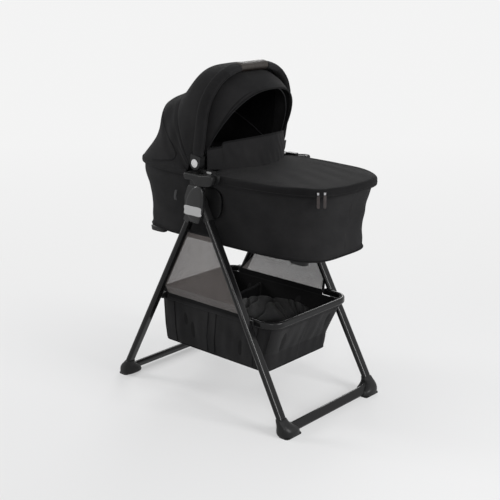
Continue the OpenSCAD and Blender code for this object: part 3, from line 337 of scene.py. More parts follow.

# Leather: cell creases from a Voronoi pattern over a soft noise; below a height the colour turns darker and
# browner, which is painted shade on the underside
def leatherFinish(name, dark, light, underShade=None, underShadeZ=0.0, underShadeDeep=0.01):
    finish, tree, shader = newFinish(name)
    place = tree.nodes.new("ShaderNodeTexCoord")
    cells = linked(tree, "ShaderNodeTexVoronoi", feature="DISTANCE_TO_EDGE", Scale=520.0)
    patch = linked(tree, "ShaderNodeTexNoise", Scale=45.0, Detail=5.0, Roughness=0.6)
    for node in (cells, patch):
        tree.links.new(place.outputs["Object"], node.inputs["Vector"])
    crease = linked(tree, "ShaderNodeMapRange")
    crease.inputs["From Max"].default_value = 0.18
    tree.links.new(cells.outputs["Distance"], crease.inputs["Value"])
    mix = linked(tree, "ShaderNodeMath", operation="MULTIPLY_ADD")
    mix.inputs[1].default_value = 0.3
    tree.links.new(crease.outputs[0], mix.inputs[0])
    tree.links.new(patch.outputs["Fac"], mix.inputs[2])
    ramp = colourRamp(tree, mix.outputs[0], [(0.4, dark), (0.95, light)])
    colour = ramp.outputs[0]
    # Painted shade: below a height the leather's colour blends to a darker brown
    if underShade:
        split = tree.nodes.new("ShaderNodeSeparateXYZ")
        tree.links.new(place.outputs["Object"], split.inputs[0])
        height = linked(tree, "ShaderNodeMath", operation="MULTIPLY_ADD")
        height.inputs[1].default_value = 0.004
        tree.links.new(patch.outputs["Fac"], height.inputs[0])
        tree.links.new(split.outputs["Z"], height.inputs[2])
        share = linked(tree, "ShaderNodeMapRange", interpolation_type="SMOOTHSTEP")
        share.inputs["From Min"].default_value = underShadeZ - underShadeDeep / 2
        share.inputs["From Max"].default_value = underShadeZ + underShadeDeep / 2
        tree.links.new(height.outputs[0], share.inputs["Value"])
        blend = linked(tree, "ShaderNodeMix", data_type="RGBA")
        below, above = [socket for socket in blend.inputs if socket.type == "RGBA"]
        below.default_value = (*underShade, 1)
        tree.links.new(share.outputs[0], blend.inputs[0])
        tree.links.new(colour, above)
        colour = [socket for socket in blend.outputs if socket.type == "RGBA"][0]
    tree.links.new(colour, shader.inputs["Base Color"])
    shader.inputs["Roughness"].default_value = 0.52
    shader.inputs["Specular IOR Level"].default_value = 0.3
    bumped(tree, shader, crease.outputs[0], 0.0003, 0.6)
    return finish

# Knitted net: round holes on a slanted grid, cut out through the surface's alpha
def netFinish(name, colour, pitch, cover):
    finish, tree, shader = newFinish(name)
    place = tree.nodes.new("ShaderNodeTexCoord")
    holes = linked(tree, "ShaderNodeTexVoronoi", feature="F1", Scale=1 / pitch, Randomness=0.25)
    tree.links.new(place.outputs["UV"], holes.inputs["Vector"])
    yarn = linked(tree, "ShaderNodeMapRange")
    yarn.inputs["From Min"].default_value = 0.28
    yarn.inputs["From Max"].default_value = 0.36
    yarn.inputs["To Min"].default_value = 1 - (1 - cover) * 2.2
    tree.links.new(holes.outputs["Distance"], yarn.inputs["Value"])
    tree.links.new(yarn.outputs[0], shader.inputs["Alpha"])
    slow = linked(tree, "ShaderNodeTexNoise", Scale=30.0, Detail=3.0)
    tree.links.new(place.outputs["Object"], slow.inputs["Vector"])
    ramp = colourRamp(tree, slow.outputs["Fac"], [(0.3, colour), (0.8, tuple(c * 1.3 for c in colour))])
    tree.links.new(ramp.outputs[0], shader.inputs["Base Color"])
    shader.inputs["Roughness"].default_value = 0.8
    shader.inputs["Sheen Weight"].default_value = 0.2
    return finish

finishes = {
    "charcoalCloth": clothFinish("charcoal_cloth", (0.009, 0.009, 0.0095), (0.021, 0.0205, 0.021)),
    "sleeveCloth": clothFinish("sleeve_cloth", (0.007, 0.007, 0.0075), (0.018, 0.0175, 0.018), pitch=0.0014),
    "ribbedBand": clothFinish("ribbed_band", (0.006, 0.006, 0.0065), (0.03, 0.03, 0.031), pitch=0.0028,
                              relief=0.0008),
    "bindingTape": clothFinish("binding_tape", (0.005, 0.005, 0.0052), (0.012, 0.012, 0.0125), pitch=0.0009),
    "basketCloth": clothFinish("basket_cloth", (0.008, 0.008, 0.0085), (0.02, 0.0195, 0.02), pitch=0.0013,
                               sheen=0.08),
    "liningCloth": clothFinish("lining_cloth", (0.012, 0.012, 0.0125), (0.03, 0.03, 0.031),
                               pitch=0.0016, sheen=0.1),
    "hoodLining": clothFinish("hood_lining", (0.004, 0.004, 0.0042), (0.009, 0.009, 0.0095), pitch=0.0012),
    "mattressCover": clothFinish("mattress_cover", (0.46, 0.46, 0.445), (0.68, 0.68, 0.66),
                                 pitch=0.0018, rough=0.9),
    # Darker copy of the basket cloth for the inside walls: painted shade inside the basket
    "basketInnerShaded": clothFinish("basket_inner_cloth_painted_shade", (0.004, 0.004, 0.0042), (0.011, 0.0107, 0.011),
                               pitch=0.0013, sheen=0.05),
    # Very dark cloth for the things in the basket: black cloth, darkened further as painted shade inside the basket
    "looseClothAndShade": clothFinish("loose_cloth_and_painted_shade", (0.0012, 0.0012, 0.0013), (0.004, 0.004, 0.0042), pitch=0.0013,
                              sheen=0.02, rough=0.55),
    "boardCloth": clothFinish("board_cloth", (0.006, 0.006, 0.0065), (0.014, 0.014, 0.015), pitch=0.0016,
                              useUv=False),
    "thread": clothFinish("thread", (0.012, 0.012, 0.012), (0.03, 0.03, 0.03), pitch=0.0004, useUv=False),
    "gripThread": clothFinish("grip_thread", (0.05, 0.04, 0.032), (0.09, 0.075, 0.06), pitch=0.0004, useUv=False),
    # The grip's darker brown underside is painted shade
    "gripLeather": leatherFinish("grip_leather_painted_shade", (0.012, 0.0095, 0.008), (0.038, 0.031, 0.026),
                                 underShade=(0.005, 0.0026, 0.0014), underShadeZ=middle("grip", 2) - 0.003, underShadeDeep=0.008),
    "pullLeather": leatherFinish("pull_leather", (0.010, 0.0075, 0.0075), (0.034, 0.026, 0.025)),
    "loopWebbing": clothFinish("loop_webbing", (0.03, 0.03, 0.031), (0.09, 0.09, 0.092), pitch=0.0012),
    "net": netFinish("net", (0.060, 0.050, 0.046), 0.0016, 0.74),
    "netFar": netFinish("net_far_side", (0.066, 0.056, 0.052), 0.0016, 0.69),
    # Darker copy of the charcoal cloth for the apron's upward-facing top: painted shade
    "apronShadedCloth": clothFinish("apron_cloth_painted_shade", (0.005, 0.005, 0.0053), (0.012, 0.0117, 0.012)),
    "frameBlack": hardFinish("frame_black_gloss", (0.0045, 0.0045, 0.0047), 0.2, grain=240.0, relief=0.00005,
                             specular=0.24),
    "plasticBlack": hardFinish("plastic_black_satin", (0.009, 0.009, 0.0092), 0.38, grain=900.0, relief=0.00012,
                               specular=0.2),
    # Darker copy of the satin black plastic, for the hub back plates that sit in shadow: painted shade
    "plasticShaded": hardFinish("plastic_black_painted_shade", (0.0035, 0.0035, 0.0037), 0.5, grain=900.0, relief=0.00012,
                              specular=0.12),
    "hubBlack": hardFinish("hub_black_gloss", (0.013, 0.013, 0.0133), 0.3, grain=700.0, relief=0.00008,
                           specular=0.3),
    "soleRubber": hardFinish("sole_rubber_finish", (0.01, 0.01, 0.01), 0.82, grain=500.0, relief=0.0002,
                             specular=0.3),
    "plainSteel": hardFinish("plain_steel", (0.35, 0.35, 0.36), 0.34, metal=1.0, grain=400.0, relief=0.00005,
                             stretch=(1, 0.05, 1)),
    "plainAlu": hardFinish("plain_alu", (0.5, 0.5, 0.51), 0.4, metal=1.0, grain=500.0, relief=0.00004),
    "plateWhite": hardFinish("plate_white_gloss", (0.36, 0.36, 0.357), 0.3, grain=600.0, relief=0.00003),
    "buttonSilver": hardFinish("button_silver_gloss", (0.62, 0.62, 0.62), 0.28, metal=0.35, grain=500.0,
                               relief=0.00004),
    "bowWire": hardFinish("bow_wire", (0.02, 0.02, 0.022), 0.4, metal=0.4, grain=500.0, relief=0.00004),
}
print("finishes made")

# Finish of each solid that shows as it is
nodeFinishes = {
    "frameBlack": ["head_legs", "toe_legs", "head_floor_bar", "toe_floor_bar", "head_basket_ring",
                   "toe_basket_ring"],
    "plasticBlack": ["head_foot_near", "head_foot_far", "toe_foot_near", "toe_foot_far", "inner_hub_near",
                     "inner_hub_far",
                     "head_ring_brackets", "toe_ring_brackets", "tub_glides", "adapter_near", "adapter_far",
                     "handle_ends",
                     "canopy_bow_ends", "visor_bow_ends", "rim_frame"],
    "hubBlack": ["outer_hub_near", "outer_hub_far"],
    "soleRubber": ["head_foot_pads", "toe_foot_pads"],
    "plainSteel": ["fold_bolt_near", "fold_bolt_far", "hood_pins"],
    "bowWire": ["canopy_bow", "visor_bow"],
    "plainAlu": ["handle_tube"],
    "plateWhite": ["hub_plates", "release_tab_near", "release_tab_far"],
    "buttonSilver": ["button_rings", "hood_button_near", "hood_button_far"],
    "boardCloth": ["tub_floor"],
}
for finishName, nodeNames in nodeFinishes.items():
    for nodeName in nodeNames:
        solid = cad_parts[nodeName]
        if not solid.material_slots:
            solid.data.materials.append(finishes[finishName])
        for place in solid.material_slots:
            place.material = finishes[finishName]
print("solids dressed")

tub = {
    "pullLong": 0.042, "pullWide": 0.041,  # how far the waist stands inside the rim
    "floorRound": 4.3, "rimRound": 3.25,  # superellipse powers at the floor and at the rim
    "waistShare": 0.2, "flare": 1.7,
    "wrinkle": 0.0011, "headTuck": 0.008,  # the cloth rim drawn in round the head end
}

# Plan of the tub at a share k of its height: a superellipse, pulled in by 1 - t^flare above the waist
def tubPlan(angle, k, inset=0.0):
    t = np.clip((k - tub["waistShare"]) / (1 - tub["waistShare"]), 0, 1)
    pull = 1 - t ** tub["flare"]
    p, q = superUnit(angle, tub["floorRound"] - (tub["floorRound"] - tub["rimRound"]) * k)
    tuck = tub["headTuck"] * eased(k, 0.82, 1.0) * headShare(angle)
    return (tubX + (tubHalfLong - tub["pullLong"] * pull - inset - tuck) * p,
            (tubHalfWide - tub["pullWide"] * pull - inset - tuck) * q)

# How much a direction points to the head end's corners and end: 0 at the hinge, 1 past the corner
def headShare(angle):
    return eased(-np.cos(angle), 0.30, 0.75)

tubTall = rimZ - tubLow

# Rows are given as share of height, inset, and height; columns go round once
def tubRows(rows, count):
    angle = (np.arange(count) + 0.5) * 2 * np.pi / count
    k, inset, z = (np.asarray(part, float)[:, None] for part in zip(*rows))
    x, y = tubPlan(angle[None], k, inset)
    return angle, k, np.stack([x, y, np.broadcast_to(z, x.shape)], axis=2)

# Closed path round the tub at a share of its height
def tubPath(k, inset, z, count=260):
    angle = (np.arange(count) + 0.5) * 2 * np.pi / count
    x, y = tubPlan(angle, np.full(count, k), inset)
    return np.stack([x, y, np.full(count, z)], axis=1)

def makeTubBody():
    under = [(0, 0.40 * tubHalfWide * (1 - s), tubLow + 0.0015 * (1 - s)) for s in np.linspace(0, 0.86, 7)]
    turn = [(0, 0.009 - 0.009 * math.sin(a),
             tubLow + 0.006 - 0.006 * math.cos(a)) for a in np.linspace(0.1, 1.5, 5)]
    side = [(k, 0, tubLow + k * tubTall) for k in np.linspace(0.035, 0.985, 46)]
    roll = [(1, 0.0006, rimZ - 0.0008), (1, 0.0022, rimZ - 0.0001)]
    around = 288
    angle, k, points = tubRows(under + turn + side + roll, around)
    normal = gridNormals(points, loopCols=True)
    wall = eased(k, 0.02, 0.12) * (1 - eased(k, 0.9, 1.0))
    corner = bell(np.abs(np.sin(angle)), 0.62, 0.3)[None]
    # Cloth relief: slow ripples all round, and slanted creases that run down from the corners
    relief = tub["wrinkle"] * ripples(angle[None] / 6.283 * 5, k * 1.4, 3, fine=1.4) * wall
    relief = relief + 0.0011 * np.sin(angle[None] * 23 + k * 5) * corner * bell(k, 0.14, 0.16)
    relief = relief - 0.0016 * bell(k, 0.045, 0.03) * wall
    points = points + relief[..., None] * normal
    body = gridPiece("tub_body", points, finishes["charcoalCloth"], loopCols=True)
    mesh = body.data
    form = bmesh.new()
    form.from_mesh(mesh)
    form.verts.ensure_lookup_table()
    form.faces.new([form.verts[i] for i in range(around - 1, -1, -1)])
    form.to_mesh(mesh)
    form.free()
    # The middle of the floor is one flat face; its area is half the sum of its edges' cross products
    hole = points[0]
    after = np.roll(hole, -1, axis=0)
    asSheet(body, points, loopCols=True,
            extraArea=abs((hole[:, 0] * after[:, 1] - hole[:, 1] * after[:, 0]).sum()) / 2)
    return body

tubBody = makeTubBody()
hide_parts("tub_shell")
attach(tubBody, "bassinet")

piping = carried("tub_floor_piping", tubPath(0.012, -0.0012, tubLow + 0.0035), roundOutline(0.0026),
                 finishes["bindingTape"], closed=True)
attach(piping, "bassinet")
# Small webbing loop on the near side, sewn on under the rim
loopZ = np.linspace(0, 1, 24)
loopX, loopY, loopLow, loopTall = -0.154, -0.1935, 0.664, 0.032
loopPath = np.stack([loopX + 0.002 * np.sin(loopZ * 3),
        loopY - 0.0055 * np.sin(loopZ * np.pi) - 0.004 * (1 - loopZ), loopLow + loopTall * loopZ], axis=1)
webLoop = carried("tub_side_loop", loopPath, ovalOutline(0.0105, 0.0018, n=3, count=12), finishes["loopWebbing"],
                  side=(1, 0, 0))
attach(webLoop, "bassinet")
seamLine = stitches("tub_floor_stitching", tubPath(0.06, -0.0006, tubLow + 0.0125, 700), finishes["thread"])
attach(seamLine, "bassinet")

# Inner lining: over the rim, past the rim frame and down to the floor
def makeTubLining():
    lip = [(1, 0.0016, rimZ + 0.0002), (0.995, 0.006, rimZ - 0.0004), (0.97, 0.0125, rimZ - 0.0012),
           (0.93, 0.0162, rimZ - 0.005)]
    side = [(min(0.9, k), 0.0178, tubLow + k * tubTall) for k in np.linspace(0.94, 0.08, 30)]
    foot = [(0.08, 0.0178 + 0.0062 * s, tubLow + 0.0145 - 0.002 * s) for s in (0.4, 0.8, 1.0)]
    floor = [(0.08, 0.024 + 0.35 * tubHalfWide * s, tubLow + 0.0128) for s in (0.15, 0.5, 1.0)]
    angle, k, points = tubRows(lip + side + foot + floor, 360)
    normal = gridNormals(points, loopCols=True)
    wall = bell(k, 0.55, 0.5)
    # Soft gathers: narrow upright pleats that fade towards the floor
    gathers = np.sin(angle[None] * 64 + 1.3 * np.sin(angle[None] * 9)) * eased(k, 0.35,
                                                                               0.85) * (1 - eased(k, 0.93, 0.99))
    points = points + (0.0009 * gathers + 0.0008 * ripples(angle[None], k, 8) * wall)[..., None] * normal
    lining = gridPiece("tub_inner_lining", points, finishes["liningCloth"], loopCols=True)
    asSheet(lining, points, loopCols=True)
    return lining

tubLining = makeTubLining()
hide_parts("tub_lining")
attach(tubLining, "bassinet")

# Mattress: a crowned pad whose sides pull in to its edge, with sewn dimples across its top
pad = {"sidePower": 3.2, "planPower": 3.9, "flatShare": 0.97, "dimpleStep": 0.085, "dimpleDeep": 0.0014,
       "crown": 0.0022}

def makeMattress():
    low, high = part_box("mattress")
    count = 220
    angle = (np.arange(count) + 0.5) * 2 * np.pi / count
    halfLong, halfWide = (high[0] - low[0]) / 2, (high[1] - low[1]) / 2
    rise = np.linspace(-1, 1, 61)
    spread = (1 - np.abs(rise) ** pad["sidePower"]) ** (1 / pad["sidePower"])
    spread = np.concatenate([np.linspace(0.02, 0.86, 12) * spread[1], spread[1:-1],
                             np.linspace(0.86, 0.02, 30) * spread[-2]])
    rise = np.concatenate([np.full(12, -pad["flatShare"]), rise[1:-1], np.full(30, pad["flatShare"])])
    reach = 1 - 0.028 * (1 - spread)
    p, q = superUnit(angle, pad["planPower"])
    x = middle("mattress", 0) + halfLong * np.clip(spread, 0, 1)[:, None] * p[None] * reach[:, None]
    y = halfWide * np.clip(spread, 0, 1)[:, None] * q[None] * reach[:, None]
    tall = (high[2] - low[2]) / 2
    z = (low[2] + high[2]) / 2 + tall * rise[:, None]
    crown = np.clip(1 - (np.abs(x - middle("mattress", 0)) / halfLong) ** 4 - (np.abs(y) / halfWide) ** 4, 0, 1)
    dimple = np.cos(x * 2 * np.pi / pad["dimpleStep"]) * np.cos(y * 2 * np.pi / pad["dimpleStep"])
    top = (rise[:, None] > 0.9)
    z = np.where(top, z - 0.0012 + pad["crown"] * crown - pad["dimpleDeep"] * np.clip(dimple, 0, 1) ** 3, z)
    return gridPiece("mattress_pad", np.stack([x, y, z], axis=2), finishes["mattressCover"], loopCols=True,
                     capped=True)

mattress = makeMattress()
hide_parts("mattress")
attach(mattress, "bassinet")
print("tub made")

# Apron over the toe half
apron = {"startX": 0.0042, "gap": 0.0042, "crown": 0.010, "roll": 0.0095, "edgeRise": 0.0042, "sag": 0.0035}

# Height of the apron's top over a place: a low crown above the rim, with a shallow sag along the middle
def apronTop(x, y):
    r = (np.abs((x - tubX) / tubHalfLong) ** 3.25 + np.abs(y / tubHalfWide) ** 3.25) ** (1 / 3.25)
    crown = np.clip(1 - r ** 3.5, 0, 1)
    along = np.clip((x - apron["startX"]) / (tubX + tubHalfLong - apron["startX"]), 0, 1)
    return rimZ + apron["edgeRise"] + apron["crown"] * crown * (1 - 0.5 * along) - apron["sag"] * bell(along,
            0.55, 0.6) * crown

def makeApron():
    count = 210
    x0 = apron["startX"]
    stop = math.acos(max(-1, min(1, (x0 - tubX) / tubHalfLong)))
    angle = np.linspace(-1, 1, count) * (stop + 0.004)
    p, q = superUnit(angle, tub["rimRound"])
    halfLong, halfWide = tubHalfLong + apron["gap"], tubHalfWide + apron["gap"]
    rimY = halfWide * q
    spread = (np.linspace(0, 1, 34) ** 0.8)[:, None]
    frontY = np.linspace(-1, 1, count) * (tubHalfWide - 0.0005)
    frontY = 0.5 * frontY + 0.5 * rimY * (tubHalfWide / halfWide)
    roll = apron["roll"]
    x = x0 * (1 - spread) + np.maximum(tubX + (halfLong - roll) * p, x0)[None] * spread
    y = frontY[None] * (1 - spread) + ((halfWide - roll) * q)[None] * spread
    z = apronTop(x, y)
    top = np.stack([x, y, z], axis=2)
    # The edge rolls over and the skirt hangs down outside the tub
    rows = []
    turns = [(roll * (1 - math.sin(t)), roll * (1 - math.cos(t))) for t in np.linspace(0.22, 1.5, 8)]
    skirt = [(0.0001 * k, roll + 0.0035 * k) for k in range(1, 5)]
    for inset, drop in turns + skirt:
        rows.append(np.stack([np.maximum(tubX + (halfLong - inset) * p, x0), (halfWide - inset) * q,
                              np.full(count, rimZ + apron["edgeRise"] - drop)], axis=1))
    points = np.concatenate([top, np.stack(rows)], axis=0)
    # The cloth sits inside the clamp's shelf on either side, so it is drawn in there
    side = bell(points[..., 0], x0 + 0.03, 0.05) * (np.abs(points[..., 1]) > tubHalfWide - 0.002)
    points[...,
           1] -= np.sign(points[..., 1]) * side * np.clip(np.abs(points[..., 1]) - (tubHalfWide - 0.0012), 0, 1)
    v = np.linspace(0, 1, points.shape[0])[:, None]
    u = np.linspace(0, 1, count)[None]
    relief = 0.0007 * ripples(u * 3, v * 1.6, 21, fine=1.2) * eased(v, 0.05, 0.3) * (1 - eased(v, 0.82, 0.9))
    # Light drag lines from the toe corners and from the pulls towards the middle
    fan = np.sin(u * 46 + v * 4) * bell(np.abs(u - 0.5), 0.24, 0.14) * bell(v, 0.72, 0.2)
    points[..., 2] += relief + 0.0007 * fan
    # The apron takes the darker copy of the charcoal cloth, painted shade
    return gridPiece("apron_cover", points, finishes["apronShadedCloth"], wall=0.0018), points

apronCover, apronPoints = makeApron()
asSheet(apronCover, apronPoints)
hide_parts("apron")
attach(apronCover, "bassinet")

# The rim's path over the toe half, as many points as asked for
def toeRim(out, z, count=400, startX=0.07):
    stop = math.acos((startX - tubX) / tubHalfLong)
    p, q = superUnit(np.linspace(-1, 1, count) * stop, tub["rimRound"])
    return np.stack([tubX + (tubHalfLong + out) * p, (tubHalfWide + out) * q, np.full(count, z)], axis=1)

edgePiping = carried("apron_piping", toeRim(apron["gap"] + 0.0002, rimZ - 0.0052), roundOutline(0.0014),
                     finishes["bindingTape"])
zipTape = carried("apron_zip_tape", toeRim(apron["gap"] + 0.0002, rimZ - 0.0135),
                  ovalOutline(0.0085, 0.0016, count=12), finishes["bindingTape"])
zipTeeth = stitches("apron_zip_teeth", toeRim(apron["gap"] + 0.0013, rimZ - 0.0135, 900), finishes["thread"],
                    length=0.0016, gap=0.0011, radius=0.0009)
edgeStitch = stitches("apron_stitching", toeRim(apron["gap"] + 0.0003, rimZ - 0.0082, 900), finishes["thread"])
for piece in (edgePiping, zipTape, zipTeeth, edgeStitch):
    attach(piece, "bassinet")
print("apron made")

# Wind flap, standing across the tub
flap = {"top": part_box("wind_flap")[1][2], "drop": 0.020,
        "reach": 0.090, "half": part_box("wind_flap")[1][1], "backX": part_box("wind_flap")[0][0], "post": 0.79}

# The flap's line in plan: a parabola bowed towards the toe end
def flapPlan(s, inset=0.0):
    return flap["backX"] + (flap["reach"] - inset) * (1 - s * s), (flap["half"] - inset) * s

def makeFlap():
    s = np.linspace(-1, 1, 190)
    x, y = flapPlan(s)
    overApron = x > apron["startX"]
    foot = np.where(overApron, apronTop(np.maximum(x, apron["startX"]), y) - 0.001, rimZ + 0.0125)
    # Top line: highest in the middle, lower to both ends, with a small step down at the end bands
    top = flap["top"] - flap["drop"] * s ** 2
    top = top - 0.012 * eased(np.abs(s), flap["post"] - 0.012, flap["post"] + 0.012)
    v = np.linspace(0, 1, 40)[:, None]
    z = foot[None] + v * (top - foot)[None]
    lean = 0.010 * np.sin(v * np.pi / 2) * (1 - s ** 4)[None]
    belly = 0.004 * np.sin(v * np.pi) * (1 - s ** 4)[None]
    points = np.stack([x[None] + belly - 0.4 * lean, np.broadcast_to(y, z.shape), z], axis=2)
    normal = gridNormals(points)
    inBand = (np.abs(s) > flap["post"])[None]
    relief = 0.0012 * ripples(s[None] * 2, v, 31, fine=1.3) * np.where(inBand, 0.2, 1) * np.sin(v * np.pi) ** 0.5
    points = points + relief[..., None] * normal
    return gridPiece("wind_flap_cloth", points, finishes["charcoalCloth"], wall=0.0022), points

flapCloth, flapPoints = makeFlap()
asSheet(flapCloth, flapPoints)
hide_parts("wind_flap")
topEdge = carried("wind_flap_binding", flapPoints[-1] + np.array([-0.001, 0, 0]),
                  ovalOutline(0.0062, 0.0042, count=12), finishes["bindingTape"])
fold = carried("wind_flap_foot_seam", flapPoints[0][20:-20] + np.array([0.0012, 0, 0.0012]),
               roundOutline(0.0016, 8), finishes["bindingTape"])
bandSeams = []
for mark, sign in ((flap["post"], -1), (flap["post"], 1), (0.97, -1), (0.97, 1)):
    column = int(round((sign * mark + 1) / 2 * 189))
    line = flapPoints[2:-1, column] + np.array([0.0012, 0.0012 * sign, 0])
    bandSeams.append(stitches("wind_flap_stitching", line, finishes["thread"], side=(1, 0, 0)))
flapSeams = asOne("wind_flap_stitching", bandSeams)
for piece in (flapCloth, topEdge, fold, flapSeams):
    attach(piece, "bassinet")
print("wind flap made")

# Hood: handle, canopy and visor, all turning on the hood pins
hood = {
    "archAngle": 80, "archReach": 0.292, "archBend": 0.146,  # handle: lean, height over the pins, bend radius
    "sleeveWide": 0.042, "sleeveThick": 0.022, "sleeveStart": 0.025, "sleeveTurn": 85,
    "foldBack": 43, "foldDeep": 0.042, "bowBack": 66, "bowDrop": 0.003,
    "rimOver": 0.004,
}

def rad(degrees):
    return np.asarray(degrees, float) * np.pi / 180

# Place over the hinge, by the angle up from the head end and a reach, as (x, z)
def overHinge(angle, reach):
    return np.array([hingeX + reach * math.cos(math.radians(angle)),
                     hingeZ + reach * math.sin(math.radians(angle))])

# Path of the handle: up one side, round a bend of constant radius, across, and down again, leant by the arch angle
def archPath(startUp, turn, bendSteps=36):
    lean = math.radians(hood["archAngle"])
    up = np.array([math.cos(lean), 0, math.sin(lean)])
    across = np.array([0, 1.0, 0])
    bend, reach = hood["archBend"], hood["archReach"]
    t = rad(np.linspace(0, turn, bendSteps))[:, None]
    lift = np.linspace(startUp, reach - bend, 14)[:-1, None]
    origin = np.array([hingeX, 0, hingeZ])
    rise = origin - across * archHalf + lift * up
    curve = origin - across * (archHalf - bend + bend * np.cos(t)) + (reach - bend + bend * np.sin(t)) * up
    return np.concatenate([rise, curve]), lean

def oppositeSide(path):
    return np.asarray(path) * np.array([1, -1, 1])

def makeSleeve(sign):
    path, lean = archPath(hood["sleeveStart"], hood["sleeveTurn"])
    path = path if sign < 0 else oppositeSide(path)
    run = np.concatenate([[0], np.cumsum(np.linalg.norm(np.diff(path, axis=0), axis=1))])
    at = np.linspace(0, run[-1], 150)
    fine = np.stack([np.interp(at, run, path[:, k]) for k in range(3)], axis=1)
    share = at / run[-1]
    # The sleeve is full in the middle, drawn in at its ends, and rippled a little where it bends
    swell = 1 - 0.10 * np.exp(-(share / 0.03) ** 2) - 0.05 * np.exp(-((share - 1) / 0.02) ** 2)
    swell = swell + 0.012 * np.sin(share * 150) * bell(share, 0.62, 0.3) + 0.010 * np.sin(share * 41 + 1)
    side = (math.sin(lean), 0, -math.cos(lean))
    outline = ovalOutline(hood["sleeveWide"], hood["sleeveThick"], n=2.5, count=56)
    return carried("handle_sleeve_part", fine, outline, finishes["sleeveCloth"], side=side, swell=swell), fine, side

sleeveParts, bandParts, sleeveSeams = [], [], []
for sign in (-1, 1):
    part, line, side = makeSleeve(sign)
    sleeveParts.append(part)
    # Ribbed band next to the grip, a little proud of the sleeve
    end = line[-26:-1]
    ribs = 1.03 + 0.02 * np.abs(np.sin(np.linspace(0, 9.5 * np.pi, 96)))
    run = np.linspace(0, len(end) - 1, 96)
    path = np.stack([np.interp(run, np.arange(len(end)), end[:, k]) for k in range(3)], axis=1)
    outline = ovalOutline(hood["sleeveWide"] * 0.985, hood["sleeveThick"] * 0.985, n=2.5, count=56)
    bandParts.append(carried("handle_band_part", path, outline, finishes["ribbedBand"], side=side, swell=ribs))
    # Zipped seam along the inner face of the sleeve
    seamRun, archLean = line[4:-30], rad(hood["archAngle"])
    centre = np.array([hingeX, 0, hingeZ]) + 0.10 * np.array([math.cos(archLean), 0, math.sin(archLean)])
    towards = centre - seamRun
    towards -= (towards @ np.array(side))[:, None] * np.array(side)
    towards /= np.linalg.norm(towards, axis=1, keepdims=True)
    sleeveSeams.append(stitches("sleeve_seam_part", seamRun + towards * (hood["sleeveThick"] / 2 + 0.0002),
                                finishes["thread"], side=side))
    # Dark strip down the sleeve's edge, where the visor's cloth starts: painted shadow of the gap between sleeve
    # and visor
    sleeveSeams.append(carried("sleeve_seam_part", line[6:-6] + np.array(side) * (hood["sleeveWide"] / 2 - 0.0012),
                               roundOutline(0.0021, 8), finishes["bindingTape"], side=side))
sleeve = asOne("handle_sleeve_cloth", sleeveParts)
bands = asOne("handle_ribbed_bands", bandParts)
sleeveSeam = asOne("handle_sleeve_seams_and_shadow_strips", sleeveSeams)
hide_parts("handle_sleeve")
for piece in (sleeve, bands, sleeveSeam):
    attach(piece, "hood")

# Leather grip: a flat oval round the top of the handle, fuller in the middle, its seam underneath
gripSize = {"wide": 0.0374, "thick": 0.0292, "straight": 0.86,
            "turn": 5.2}  # straight: share of the length before the bends

def makeGrip():
    bend, reach = hood["archBend"], hood["archReach"]
    lean = rad(hood["archAngle"])
    up = np.array([math.cos(lean), 0, math.sin(lean)])
    t = np.linspace(-1, 1, 120)
    flat = archHalf - bend
    turn, straight = rad(gripSize["turn"]), gripSize["straight"]
    # Straight over the top, then round the start of each bend
    past = turn * (np.abs(t) - straight) / 0.14
    y = np.where(np.abs(t) < straight, t / straight * flat, np.sign(t) * (flat + bend * np.sin(past)))
    drop = np.where(np.abs(t) < straight, 0, bend * (1 - np.cos(past)))
    path = np.array([hingeX, 0, hingeZ]) + (reach - drop)[:, None] * up + y[:, None] * np.array([0, 1.0, 0])
    edge = np.abs(t)
    swell = 1.0 - 0.16 * np.clip((edge - 0.972) / 0.028, 0, 1) ** 2 + 0.006 * np.sin(t * 21)
    side = (math.sin(lean), 0, -math.cos(lean))
    outline = ovalOutline(gripSize["wide"], gripSize["thick"], n=2.3, count=64)
    grip = carried("grip_leather", path, outline, finishes["gripLeather"], side=side, swell=swell)
    under = path[4:-4] - 0.0148 * up
    seams = [stitches("grip_seam_part", under + shift * np.array(side), finishes["gripThread"], length=0.0034,
                      gap=0.0022, radius=0.00055, side=side)
             for shift in (-0.0022, 0.0022)]
    rims = []
    for k in (3, -4):
        ring = path[k] + outline[:, :1] * 0.985 * np.array(side) + outline[:,
                                                                           1:] * 0.985 * np.cross([0, 1.0, 0], side)
        rims.append(stitches("grip_end_part", np.concatenate([ring, ring[:1]]), finishes["gripThread"],
                             length=0.0034, gap=0.0022, radius=0.0005, side=(0, 1, 0)))
    return grip, asOne("grip_seams", seams + rims)

grip, gripSeams = makeGrip()
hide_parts("grip")
for piece in (grip, gripSeams):
    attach(piece, "hood")

# Unit shape of the rim behind the canopy's foot line, so that the last rows follow the rim's own plan
canopyFoot = hingeX - hood["sleeveWide"] / 2 - 0.002
rimLong, rimWide = tubHalfLong + hood["rimOver"], tubHalfWide + hood["rimOver"]
rimBack = tubX - rimLong

def rimUnit(share):
    lead = (tubX - canopyFoot + 0.009) / rimLong
    stop = math.atan2((1 - lead ** tub["rimRound"]) ** (1 / tub["rimRound"]), lead)
    p, q = superUnit(stop * share, tub["rimRound"])
    return (p - lead) / (1 - lead), q

crownKeys = np.array([
    overHinge(hood["archAngle"], hood["archReach"] - 0.005) + 0.022
    * np.array([-math.sin(rad(hood["archAngle"])), math.cos(rad(hood["archAngle"]))]),
    overHinge(hood["archAngle"] + hood["foldBack"] / 2, hood["archReach"] - 0.002),
    overHinge(hood["archAngle"] + hood["foldBack"], hood["archReach"] - hood["foldDeep"]),
    overHinge(hood["archAngle"] + hood["foldBack"] + 9, hood["archReach"] - hood["foldDeep"] + 0.009),
    overHinge(hood["archAngle"] + hood["bowBack"], hood["archReach"] - hood["bowDrop"]),
    overHinge(hood["archAngle"] + hood["bowBack"] + 14, hood["archReach"] - hood["bowDrop"] - 0.009),
    overHinge(hood["archAngle"] + hood["bowBack"] + 26, hood["archReach"] - hood["bowDrop"] + 0.011),
    (rimBack, rimZ + 0.003),
])

